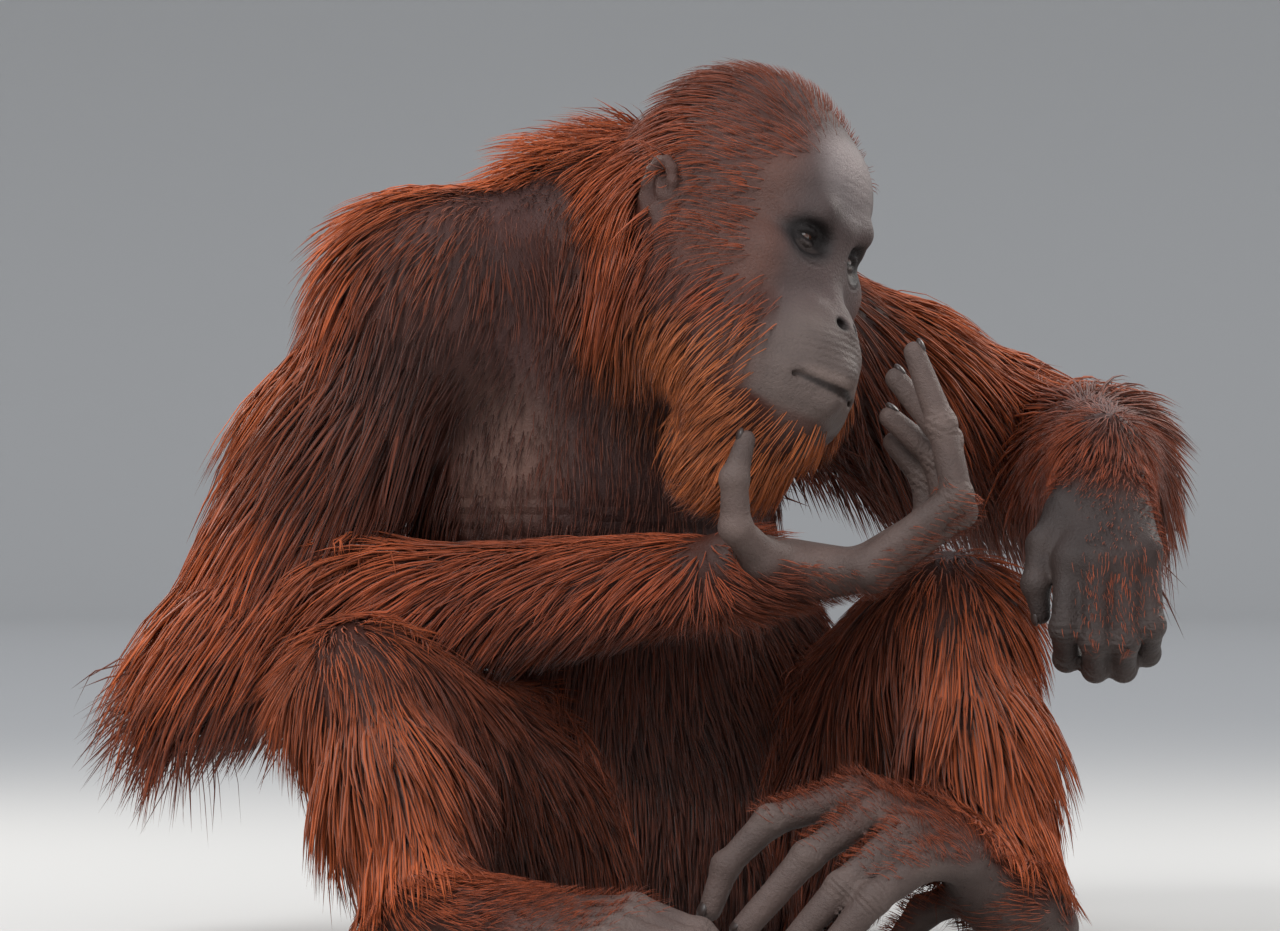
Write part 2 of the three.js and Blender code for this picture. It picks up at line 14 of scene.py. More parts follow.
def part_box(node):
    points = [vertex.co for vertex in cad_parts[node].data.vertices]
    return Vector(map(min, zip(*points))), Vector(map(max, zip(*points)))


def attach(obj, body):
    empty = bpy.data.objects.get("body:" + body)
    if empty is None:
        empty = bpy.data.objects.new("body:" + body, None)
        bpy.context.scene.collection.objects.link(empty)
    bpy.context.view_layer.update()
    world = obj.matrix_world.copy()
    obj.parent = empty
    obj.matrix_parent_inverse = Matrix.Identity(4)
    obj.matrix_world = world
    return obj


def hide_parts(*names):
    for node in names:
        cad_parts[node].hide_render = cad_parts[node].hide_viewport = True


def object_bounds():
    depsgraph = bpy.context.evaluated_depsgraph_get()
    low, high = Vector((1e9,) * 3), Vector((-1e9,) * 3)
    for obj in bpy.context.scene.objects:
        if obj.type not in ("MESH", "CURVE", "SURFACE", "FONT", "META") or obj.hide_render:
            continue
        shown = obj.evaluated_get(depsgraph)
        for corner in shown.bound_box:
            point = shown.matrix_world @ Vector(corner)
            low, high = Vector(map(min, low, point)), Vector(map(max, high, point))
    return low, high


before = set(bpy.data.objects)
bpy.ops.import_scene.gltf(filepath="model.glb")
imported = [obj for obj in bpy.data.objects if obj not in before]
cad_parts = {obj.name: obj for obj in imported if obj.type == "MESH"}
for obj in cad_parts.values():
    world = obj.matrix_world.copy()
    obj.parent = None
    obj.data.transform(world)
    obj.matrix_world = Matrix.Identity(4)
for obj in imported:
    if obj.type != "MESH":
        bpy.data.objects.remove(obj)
cad_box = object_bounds()
RNG = np.random.RandomState(11)
print("solid box", [tuple(round(v, 3) for v in corner) for corner in cad_box])


# %% [markdown]
# The animal's joints, in millimetres, are the same ones the solids were made from.
# The head turns with its own three axes: to its left, forward and up from between the eyes.
# Comparing one eye's place with the solid eye tells us how far the solids were moved to centre them.

# %% Joints
def at(x, y, z):
    return np.array([x, y, z], float)


def mix(a, b, t):
    return a + (b - a) * t


TINY = 1e-9 # keeps a division by nothing away


def unit(v):
    """Vectors brought to length one."""
    return v / (np.linalg.norm(v, axis=-1, keepdims=True) + TINY)


def far(p, place):
    """How far points are from a place."""
    return np.sqrt(((p - place) ** 2).sum(1))


PELVIS, BELLY, CHEST, NECK = at(25, 128, 95), at(8, 114, 215), at(-52, 98, 385), at(-30, 90, 560)
SHOULDER = {"right": at(-184, 8, 530), "left": at(82, 178, 500)}
ELBOW = {"right": at(-330, 14, 256), "left": at(364, 332, 392)}
WRIST = {"right": at(58, -98, 304), "left": at(352, -50, 396)}
HIP = {"right": at(-57, 106, 88), "left": at(107, 150, 88)}
KNEE = {"right": at(-232, -88, 204), "left": at(228, -44, 258)}
ANKLE = {"right": at(-176, -232, 50), "left": at(272, -150, 52)}
SIDES = ("right", "left")

EYE_MIDDLE = at(124, -62, 561)
YAW, PITCH, ROLL = (math.radians(v) for v in (49.9, 10.7, 18.4))


def turn_matrix(axis, angle):
    c, s = math.cos(angle), math.sin(angle)
    rows = {"x": [[1, 0, 0], [0, c, -s], [0, s, c]],
            "y": [[c, 0, s], [0, 1, 0], [-s, 0, c]],
            "z": [[c, -s, 0], [s, c, 0], [0, 0, 1]]}
    return np.array(rows[axis], float)


HEAD_TURN = turn_matrix("z", YAW) @ turn_matrix("x", PITCH) @ turn_matrix("y", ROLL)


def on_head(left, forward, up):
    return EYE_MIDDLE + HEAD_TURN @ at(left, -forward, up)


def head_axes(points):
    """Left, forward and up of points, read in the head's own axes."""
    local = (points - EYE_MIDDLE) @ HEAD_TURN
    return local[:, 0], -local[:, 1], local[:, 2]


EYE_SPREAD = 29
EYE_RADIUS = 12
low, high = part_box("eye_right")
OFFSET = np.array((low + high) / 2) * 1000 - on_head(-EYE_SPREAD, 0, 0)
print("solids were moved by", OFFSET.round(1), "mm")

# %% [markdown]
# Flesh is easiest to describe by distance: how far a point lies from a tapering limb or an egg.
# Taking the smaller of two distances joins two shapes, and a soft minimum rounds the join as skin does.
# Each body part keeps its own list, so that we can later ask which part a hair grows on.

# %% Shapes by distance
def cone(a, b, ra, rb):
    return ("cone", np.asarray(a, float), np.asarray(b, float), ra, rb)


def egg(centre, radii, degrees=0.0, head=False):
    return ("egg", np.asarray(centre, float), np.array(radii, float), math.radians(degrees), head)


def head_cone(a, b, ra, rb):
    return cone(on_head(*a), on_head(*b), ra, rb)


def head_egg(centre, radii):
    return egg(on_head(*centre), radii, 0, True)


def shape_distance(shape, p):
    if shape[0] == "cone":
        _, a, b, ra, rb = shape
        along = b - a
        t = np.clip((p - a) @ along / max(along @ along, 1e-6), 0, 1)
        gap = p - a - t[:, None] * along
        return np.sqrt((gap * gap).sum(1)) - (ra + (rb - ra) * t)
    _, centre, radii, turn, head = shape
    q = p - centre
    q = q @ HEAD_TURN if head else q @ turn_matrix("z", turn)
    scaled = q / radii
    near = np.sqrt((scaled * scaled).sum(1))
    steep = np.sqrt(((scaled / radii) ** 2).sum(1)) + TINY
    return near * (near - 1) / steep


def soft_min(a, b, k):
    h = np.maximum(k - np.abs(a - b), 0) / k
    return np.minimum(a, b) - h * h * k / 4


TORSO_BLEND = 40 # how wide the joins are rounded
LIMB_BLEND = 30
HEAD_BLEND = 26


def chain(shapes, p, k):
    d = shape_distance(shapes[0], p)
    for shape in shapes[1:]:
        d = soft_min(d, shape_distance(shape, p), k)
    return d


# %% Body shapes
TORSO = [
    egg(PELVIS, [122, 108, 104], 15), egg(BELLY, [134, 112, 125], 22), egg(CHEST, [158, 118, 150], 33),
    egg(at(-40, 128, 505), [128, 92, 96], 33), cone(SHOULDER["right"], at(-70, 80, 560), 62, 74),
    cone(SHOULDER["left"], at(0, 120, 550), 60, 74), cone(at(-92, 28, 470), at(-150, 10, 500), 60, 58),
]
NECK_SHAPES = [
    cone(NECK, on_head(0, -105, -5), 84, 80), cone(on_head(0, -88, -60), at(-5, 52, 470), 80, 74),
]
for side in SIDES:
    TORSO.append(cone(SHOULDER[side], mix(SHOULDER[side], ELBOW[side], 0.2), 68, 63))
UPPER_ARM = {s: [cone(SHOULDER[s], mix(SHOULDER[s], ELBOW[s], 0.35), 68, 60),
                 cone(mix(SHOULDER[s], ELBOW[s], 0.35), ELBOW[s], 60, 44)] for s in SIDES}
FOREARM = {s: [cone(ELBOW[s], mix(ELBOW[s], WRIST[s], 0.3), 45, 47),
               cone(mix(ELBOW[s], WRIST[s], 0.3), WRIST[s], 47, 29)] for s in SIDES}
THIGH = {s: [cone(HIP[s], KNEE[s], 84, 54)] for s in SIDES}
SHIN = {s: [cone(KNEE[s], mix(KNEE[s], ANKLE[s], 0.4), 50, 46),
            cone(mix(KNEE[s], ANKLE[s], 0.4), ANKLE[s], 46, 30)] for s in SIDES}

# %% Hands and feet
def row_of(*numbers):
    """Points in a row, from three numbers each."""
    return list(np.array(numbers, float).reshape(-1, 3))


FINGERS = {
    "right": [
        row_of(160, -148, 308, 230, -152, 364, 218, -150, 420, 197, -146, 476),
        row_of(166, -127, 304, 234, -124, 352, 224, -118, 408, 184, -114, 456),
        row_of(163, -106, 305, 226, -98, 348, 218, -92, 393, 180, -92, 426),
        row_of(154, -88, 308, 212, -76, 345, 209, -72, 378, 184, -72, 406),
    ],
    "left": [
        row_of(318, -146, 314, 312, -164, 262, 316, -136, 238, 324, -108, 252),
        row_of(338, -154, 314, 335, -172, 252, 338, -142, 230, 344, -112, 246),
        row_of(359, -152, 316, 359, -168, 252, 360, -138, 230, 364, -108, 248),
        row_of(376, -142, 322, 380, -156, 264, 379, -130, 242, 378, -104, 258),
    ],
}
THUMB = {
    "right": row_of(82, -132, 312, 58, -156, 340, 57, -162, 378, 66, -160, 408),
    "left": row_of(318, -112, 352, 298, -128, 326, 292, -138, 296, 296, -136, 272),
}
TOES = {
    "right": [
        row_of(-70, -262, 46, -20, -270, 50, 28, -282, 34, 58, -288, 11),
        row_of(-74, -284, 38, -22, -296, 44, 24, -306, 28, 54, -312, 11),
        row_of(-78, -304, 32, -30, -320, 38, 14, -330, 26, 44, -336, 11),
        row_of(-84, -320, 26, -42, -340, 30, -2, -352, 24, 26, -358, 11),
    ],
    "left": [
        row_of(206, -150, 112, 150, -172, 134, 84, -184, 114, 50, -190, 80, 38, -192, 46),
        row_of(214, -172, 108, 166, -192, 124, 112, -208, 88, 64, -216, 34),
        row_of(224, -190, 98, 186, -210, 106, 138, -226, 66, 96, -232, 18),
        row_of(232, -206, 84, 200, -224, 84, 162, -240, 58, 122, -246, 12),
    ],
}
BIG_TOE = {"right": row_of(-130, -214, 34, -102, -196, 28, -84, -188, 13),
           "left": row_of(240, -138, 56, 206, -120, 40, 184, -116, 13)}
HEEL = {"right": at(-206, -216, 28), "left": at(300, -132, 28)}
FINGER_RADII = {"right": [14, 12.5, 11.5, 9], "left": [12, 11, 10, 8.5]}
THUMB_RADII = [16, 12.5, 11, 8]
TOE_RADII = [16, 14, 12.5, 11, 9.5]


def digit(points, radii):
    bones = [cone(a, b, ra, rb * 0.94) for a, b, ra, rb in zip(points, points[1:], radii, radii[1:])]
    knuckles = [cone(p, p, r * 1.03, r * 1.03) for p, r in zip(points[1:-1], radii[1:-1])]
    return bones + knuckles


def palm(side):
    start = WRIST[side]
    bones = [cone(start, finger[0], 24, 14) for finger in FINGERS[side]]
    return bones + [cone(start, THUMB[side][0], 24, 17)]


def sole(side):
    bones = [cone(ANKLE[side], toe[0], 26, 16) for toe in TOES[side]]
    return bones + [cone(ANKLE[side], HEEL[side], 28, 26), cone(ANKLE[side], BIG_TOE[side][0], 24, 15)]


HAND = {s: palm(s) for s in SIDES}
FOOT = {s: sole(s) for s in SIDES}
HAND_DIGITS = {s: [digit(f, FINGER_RADII[s]) for f in FINGERS[s]] + [digit(THUMB[s], THUMB_RADII)]
               for s in SIDES}
FOOT_DIGITS = {s: [digit(t, TOE_RADII) for t in TOES[s]] + [digit(BIG_TOE[s], [15, 13, 11])] for s in SIDES}
print("digits", sum(len(v) for v in HAND_DIGITS.values()) + sum(len(v) for v in FOOT_DIGITS.values()))

# %% [markdown]
# A grown orangutan's face is a tall dished skull with a bulging muzzle. The brow is low, the eyes
# lie close together in dark hollows, and the upper lip is high and creased. Big eggs set the masses,
# small cones add the brow, the nose wings, the lips and the lids, and a few shapes are cut away again.

# %% Head shapes
def mirrored(make):
    """The head's shapes on the right, then the same ones on the left."""
    return [shape for m in (-1, 1) for shape in make(m)]


HEAD_MASS = [
    head_egg([0, -78, 24], [74, 96, 90]), head_egg([0, -98, 72], [54, 70, 56]),
    head_egg([0, -26, 38], [54, 42, 46]),
    *mirrored(lambda m: [head_cone([52 * m, -6, -24], [64 * m, -62, -26], 19, 26)]),
    head_egg([0, -4, -36], [48, 34, 46]),
    *mirrored(lambda m: [head_egg([46 * m, -36, -78], [34, 54, 56])]),
    head_egg([0, 26, -88], [47, 44, 40]),
    *mirrored(lambda m: [head_egg([46 * m, -2, -118], [34, 44, 42])]),
    head_egg([0, 16, -136], [42, 44, 32]), head_egg([0, -16, -172], [50, 50, 40]),
]
FACE_FORMS = [
    *mirrored(lambda m: [head_cone([46 * m, 0, 13], [27 * m, 15, 22], 7, 8.5),
                         head_cone([27 * m, 15, 22], [0, 15, 16], 8.5, 8)]),
    head_cone([0, 14, 14], [0, 18, -26], 9, 7), head_cone([0, 18, -26], [0, 38, -50], 8, 9),
    *mirrored(lambda m: [head_cone([12 * m, 44, -58], [19 * m, 36, -54], 6.5, 5)]),
    head_cone([0, 56, -62], [0, 46, -54], 5, 6),
    *mirrored(lambda m: [head_cone([38 * m, 42, -108], [0, 66, -99], 9, 11)]),
    *mirrored(lambda m: [head_cone([34 * m, 42, -121], [0, 60, -119], 8, 10)]),
]
SOCKETS = mirrored(lambda m: [head_egg([EYE_SPREAD * m, 17, -1], [15, 13, 11])])
NOSTRILS = mirrored(lambda m: [head_egg([8.5 * m, 56, -59], [4.6, 9, 3.6])])
EYE_AT = {"right": (-EYE_SPREAD, 0, 0), "left": (EYE_SPREAD, 0, 0)}
LID_REACH = 12.8
LID_THICK = 2.4
LID_EDGES = ((5.0, 0.4), (-5.4, -0.2), (9.0, -1.5), (-9.4, -1.8)) # how far each opens and stands out


def arc(make, count):
    points = [make(i / count) for i in range(count + 1)]
    return [cone(a, b, LID_THICK, LID_THICK) for a, b in zip(points, points[1:])]


def lids(left):
    def edge(opening, inner):
        def make(t):
            turn = math.pi * (1 - t)
            across = math.cos(turn) * LID_REACH
            up = math.sin(turn) * opening
            forward = math.sqrt(max(LID_REACH ** 2 - across ** 2 * 0.86 - up ** 2, 9)) + inner
            return on_head(left + across, forward, up)
        return make
    return [shape for opening, inner in LID_EDGES for shape in arc(edge(opening, inner), 8)]


LIDS = lids(-EYE_SPREAD) + lids(EYE_SPREAD)
MOUTH = [(math.sin(a) * 45, 27 + math.cos(a) * 47, -109 - 4 * abs(math.sin(a)) - 2 * math.cos(3 * a))
         for a in np.linspace(-1.32, 1.32, 13)]
MOUTH_WIDE = [0.8 + 1.9 * math.cos(a) ** 0.6 for a in np.linspace(-1.32, 1.32, 13)]
MOUTH_LINE = [cone(on_head(*a), on_head(*b), ra, rb)
              for a, b, ra, rb in zip(MOUTH, MOUTH[1:], MOUTH_WIDE, MOUTH_WIDE[1:])]


def ear(sign):
    def rim(t):
        turn = math.radians(-60 + 285 * t)
        rise = math.sin(turn)
        return on_head(sign * (88 + 5 * rise), -100 - 13 * math.cos(turn), 22 * rise)
    ring = [rim(i / 9) for i in range(10)]
    helix = [cone(a, b, 4.2, 4.2) for a, b in zip(ring, ring[1:])]
    back = [head_egg([sign * 83, -100, 0], [6, 12, 20])]
    inner = [head_cone([sign * 89, -106, 12], [sign * 90, -94, -6], 3, 3)]
    lobe = [head_cone([sign * 88, -96, -18], [sign * 86, -92, -24], 5, 4)]
    return helix + back + inner + lobe


EARS = mirrored(ear)
print("head shapes", len(HEAD_MASS) + len(FACE_FORMS) + len(LIDS) + len(MOUTH_LINE) + len(EARS))

# %% Distance to the whole skin
HEAD_REACH = 190 # the face and the ears lie this close to the middle of the head
CULL = 60 # farther than this from a limb's box, the distance to the box will do


def head_distance(p):
    d = chain(HEAD_MASS + NECK_SHAPES, p, HEAD_BLEND)
    close = np.flatnonzero((far(p, on_head(0, -50, -30)) < HEAD_REACH) & (np.abs(d) < CULL))
    if len(close):
        q = p[close]
        skull = d[close]
        skull = soft_min(skull, chain(FACE_FORMS, q, 9), 13)
        skull = -soft_min(-skull, chain(SOCKETS, q, 2), 9)
        balls = chain([cone(on_head(*EYE_AT[s]), on_head(*EYE_AT[s]), 11.2, 11.2) for s in SIDES], q, 2)
        skull = np.minimum(skull, balls)
        skull = soft_min(skull, chain(LIDS, q, 1.6), 3)
        skull = -soft_min(-skull, chain(NOSTRILS, q, 2), 3)
        skull = -soft_min(-skull, chain(MOUTH_LINE, q, 2), 4)
        skull = soft_min(skull, chain(EARS, q, 4), 5)
        d[close] = skull
    return d


def boxed(shapes, measure, p):
    """Measures only the points near the box of these cones."""
    low = np.min([np.minimum(s[1], s[2]) - max(s[3], s[4]) for s in shapes], 0)
    high = np.max([np.maximum(s[1], s[2]) + max(s[3], s[4]) for s in shapes], 0)
    d = np.linalg.norm(np.maximum(np.maximum(low - p, p - high), 0), axis=1)
    near = np.flatnonzero(d < CULL)
    if len(near):
        d[near] = measure(p[near])
    return d


def limb_end(base, digits, p, k_base, k_digit):
    def measure(q):
        d = chain(base, q, k_base)
        for bones in digits:
            d = soft_min(d, chain(bones, q, 4), k_digit)
        return d
    return boxed(base + [bone for bones in digits for bone in bones], measure, p)


def hand_distance(side, p):
    return limb_end(HAND[side], HAND_DIGITS[side], p, 16, 7)


def foot_distance(side, p):
    return limb_end(FOOT[side], FOOT_DIGITS[side], p, 18, 8)


LIMB_PARTS = ("upper_arm", "forearm", "thigh", "shin", "hand", "foot")
PARTS = ["torso", "head"] + [f"{n}_{s}" for s in SIDES for n in LIMB_PARTS]


def part_distances(p):
    """One row for each body part."""
    rows = {"torso": chain(TORSO + NECK_SHAPES, p, TORSO_BLEND), "head": head_distance(p)}
    for s in SIDES:
        rows[f"upper_arm_{s}"] = chain(UPPER_ARM[s] + FOREARM[s][:1], p, LIMB_BLEND)
        rows[f"forearm_{s}"] = chain(FOREARM[s] + UPPER_ARM[s][1:], p, LIMB_BLEND)
        rows[f"thigh_{s}"] = boxed(THIGH[s], lambda q: chain(THIGH[s], q, LIMB_BLEND), p)
        knee = cone(mix(HIP[s], KNEE[s], 0.75), KNEE[s], 60, 54)
        rows[f"shin_{s}"] = chain(SHIN[s] + [knee], p, LIMB_BLEND)
        rows[f"hand_{s}"] = hand_distance(s, p)
        rows[f"foot_{s}"] = foot_distance(s, p)
    return np.array([rows[name] for name in PARTS])


def skin_distance(p):
    rows = dict(zip(PARTS, part_distances(p)))
    d = soft_min(rows["torso"], rows["head"], 12)
    for s in SIDES:
        leg = soft_min(soft_min(rows[f"thigh_{s}"], rows[f"shin_{s}"], 20), rows[f"foot_{s}"], 14)
        d = soft_min(d, leg, 34)
    for s in SIDES:
        arm = soft_min(soft_min(rows[f"upper_arm_{s}"], rows[f"forearm_{s}"], 12), rows[f"hand_{s}"], 10)
        d = soft_min(d, arm, 8)
    return d


def skin_slope(p, step=1.0):
    g = np.empty_like(p)
    for axis in range(3):
        ahead, behind = p.copy(), p.copy()
        ahead[:, axis] += step
        behind[:, axis] -= step
        g[:, axis] = skin_distance(ahead) - skin_distance(behind)
    return unit(g)


# %% [markdown]
# Distances become a mesh with a net: wherever the skin crosses a small cube of a grid, that cube gets
# one vertex, and neighbouring cubes are joined by squares. The face, hands and feet get a finer grid.
# Most cubes are far from the skin, so the distance is first read coarsely and only worked out near it.

# %% Net a surface
def sample_grid(low, cell, count):
    """Distances on a grid of points, exact only in blocks that the surface may cross."""
    block = 12
    values = np.full(count, 1e3, np.float32)
    starts = [np.arange(0, n, block) for n in count]
    corners = np.stack(np.meshgrid(*starts, indexing="ij"), -1).reshape(-1, 3)
    middles = low + (corners + block / 2) * cell
    rough = skin_distance(middles)
    reach = block * cell * 0.5 * math.sqrt(3) * 1.25 + 6
    values_rough = np.where(rough < 0, -1e3, 1e3)
    for corner, d, fill in zip(corners, rough, values_rough):
        cut = tuple(slice(c, min(c + block, n)) for c, n in zip(corner, count))
        if abs(d) > reach:
            values[cut] = fill
    chosen = corners[np.abs(rough) <= reach]
    inner = np.stack(np.meshgrid(*[np.arange(block)] * 3, indexing="ij"), -1).reshape(-1, 3)
    batch = max(1, 260000 // len(inner))
    for i in range(0, len(chosen), batch):
        index = (chosen[i:i + batch, None] + inner[None]).reshape(-1, 3)
        index = index[(index < count).all(1)]
        values[tuple(index.T)] = skin_distance(low + index * cell)
    return values


def net(low, high, cell):
    """Vertices and four-sided faces of the skin inside a box."""
    count = np.ceil((high - low) / cell).astype(int) + 1
    v = sample_grid(low, cell, count)
    inside = v < 0
    n = count - 1
    total = np.zeros(tuple(n) + (3,), np.float32)
    crossings = np.zeros(tuple(n), np.float32)
    corner = [(i, j, k) for i in (0, 1) for j in (0, 1) for k in (0, 1)]
    view = {c: v[c[0]:c[0] + n[0], c[1]:c[1] + n[1], c[2]:c[2] + n[2]] for c in corner}
    for a in corner:
        for axis in range(3):
            if a[axis]:
                continue
            b = tuple(1 if i == axis else a[i] for i in range(3))
            va, vb = view[a], view[b]
            hit = (va < 0) != (vb < 0)
            t = np.where(hit, va / np.where(hit, va - vb, 1), 0)
            for i in range(3):
                total[..., i] += np.where(hit, t if i == axis else a[i], 0)
            crossings += hit
    used = crossings > 0
    index = np.full(tuple(n), -1)
    index[used] = np.arange(used.sum())
    places = low + (np.argwhere(used) + total[used] / crossings[used][:, None]) * cell
    faces = []
    for axis in range(3):
        u, w = (axis + 1) % 3, (axis + 2) % 3
        here = [slice(0, None)] * 3
        ahead = [slice(0, None)] * 3
        here[axis], ahead[axis] = slice(0, -1), slice(1, None)
        first, second = inside[tuple(here)], inside[tuple(ahead)]
        spots = np.argwhere(first != second)
        spots = spots[(spots[:, u] > 0) & (spots[:, w] > 0) & (spots[:, u] < n[u]) & (spots[:, w] < n[w])
                      & (spots[:, axis] < n[axis])]
        way = first[tuple(spots.T)]
        ring = []
        for du, dw in ((1, 1), (0, 1), (0, 0), (1, 0)):
            s = spots.copy()
            s[:, u] -= du
            s[:, w] -= dw
            ring.append(index[tuple(s.T)])
        quad = np.array(ring).T
        quad[~way] = quad[~way][:, ::-1]
        faces.append(quad)
    faces = np.concatenate(faces)
    return places, faces[(faces >= 0).all(1)]


def settle(places, rounds=2, limit=1.5):
    """Moves vertices the last bit onto the skin."""
    for _ in range(rounds):
        step = np.clip(skin_distance(places), -limit, limit)
        places = places - skin_slope(places) * step[:, None]
    return places


# %% Where each net is used
def beyond(p, centre, way):
    return (p - centre) @ unit(way)


def zone_of(p):
    """0 for the body, 1 head, 2 and 3 hands, 4 and 5 feet."""
    zone = np.zeros(len(p), int)
    head_way = on_head(0, 0.87, 0.5) - on_head(0, 0, 0)
    head_near = far(p, on_head(0, -40, -30)) < 200
    zone[head_near & (beyond(p, on_head(0, -95, -60), head_way) > 0)] = 1
    for i, s in enumerate(SIDES):
        span = FINGERS[s][1][1]
        close = far(p, span) < 250
        hand = hand_distance(s, p) < 10
        zone[close & hand & (beyond(p, WRIST[s], WRIST[s] - ELBOW[s]) > 0)] = 2 + i
        foot = foot_distance(s, p) < 8
        zone[foot & (beyond(p, ANKLE[s], ANKLE[s] - KNEE[s]) > -6)] = 4 + i
    return zone


BODY_NET = 6.0
HEAD_NET = 2.1
HAND_NET = 3.0
ZONES = [
    (0, at(-420, -320, -20), at(470, 420, 680), BODY_NET),
    (1, on_head(0, -30, -40) - 205, on_head(0, -30, -40) + 205, HEAD_NET),
    (2, at(20, -200, 260), at(270, -40, 500), HAND_NET),
    (3, at(260, -210, 200), at(420, -20, 440), HAND_NET),
    (4, at(-260, -390, -12), at(90, -160, 120), HAND_NET),
    (5, at(10, -290, -12), at(350, -80, 170), HAND_NET),
]
all_places, all_faces, start = [], [], 0
for zone, low_corner, high_corner, cell in ZONES:
    places, faces = net(low_corner, high_corner, cell)
    places = settle(places, 1, cell * 0.5)
    keep = (zone_of(places) == zone)[faces].any(1) # nets overlap by one cell, which leaves no gap
    faces = faces[keep]
    used = np.unique(faces)
    renumber = np.full(len(places), -1)
    renumber[used] = np.arange(len(used))
    all_places.append(places[used])
    all_faces.append(renumber[faces] + start)
    start += len(used)
    print("zone", zone, "cell", cell, "faces", len(faces))
SKIN_PLACES = np.concatenate(all_places)
SKIN_PLACES[:, 2] = np.maximum(SKIN_PLACES[:, 2], 0.6)
SKIN_FACES = np.concatenate(all_faces)
SKIN_NORMALS = skin_slope(SKIN_PLACES)
print("skin vertices", len(SKIN_PLACES), "faces", len(SKIN_FACES))

# %% [markdown]
# The coat isn't the same everywhere. Long red hair hangs from the arms, back and legs, a short beard
# rings the jaw, and the chest, throat and most of the face are bare. For any point we want four things:
# how much each part owns it, how dense and how long the hair is there, and which way it lies.

# %% Coat maps
def smooth(x, a, b):
    t = np.clip((x - a) / (b - a), 0, 1)
    return t * t * (3 - 2 * t)


def along_limb(p, a, b):
    """0 at one end of a limb and 1 at the other."""
    return np.clip(beyond(p, a, b - a) / np.linalg.norm(b - a), 0, 1)


def blob(p, centre, radius, soft=0.4):
    d = far(p, centre)
    return 1 - smooth(d, radius * (1 - soft), radius * (1 + soft))


def waves(p, size, seed):
    """Slow irregular wobble from -1 to 1, three of them at once."""
    rng = np.random.RandomState(seed)
    out = np.zeros((len(p), 3))
    for k in range(4):
        way = rng.normal(size=(3, 3)) / size * (1.4 ** k)
        out += np.sin(p @ way.T + rng.uniform(0, 6.3, 3)) * 0.62 ** k
    return out / 1.9


def shares(p):
    d = part_distances(p)
    w = np.exp(-np.clip(d - d.min(0), 0, 200) / 7)
    return dict(zip(PARTS, w / w.sum(0)))


FACE_WAY = at(0.5, -0.866, 0)
DOWN = at(0, 0, -1)
TORSO_AXIS_LOW, TORSO_AXIS_HIGH = PELVIS, at(-45, 108, 560)


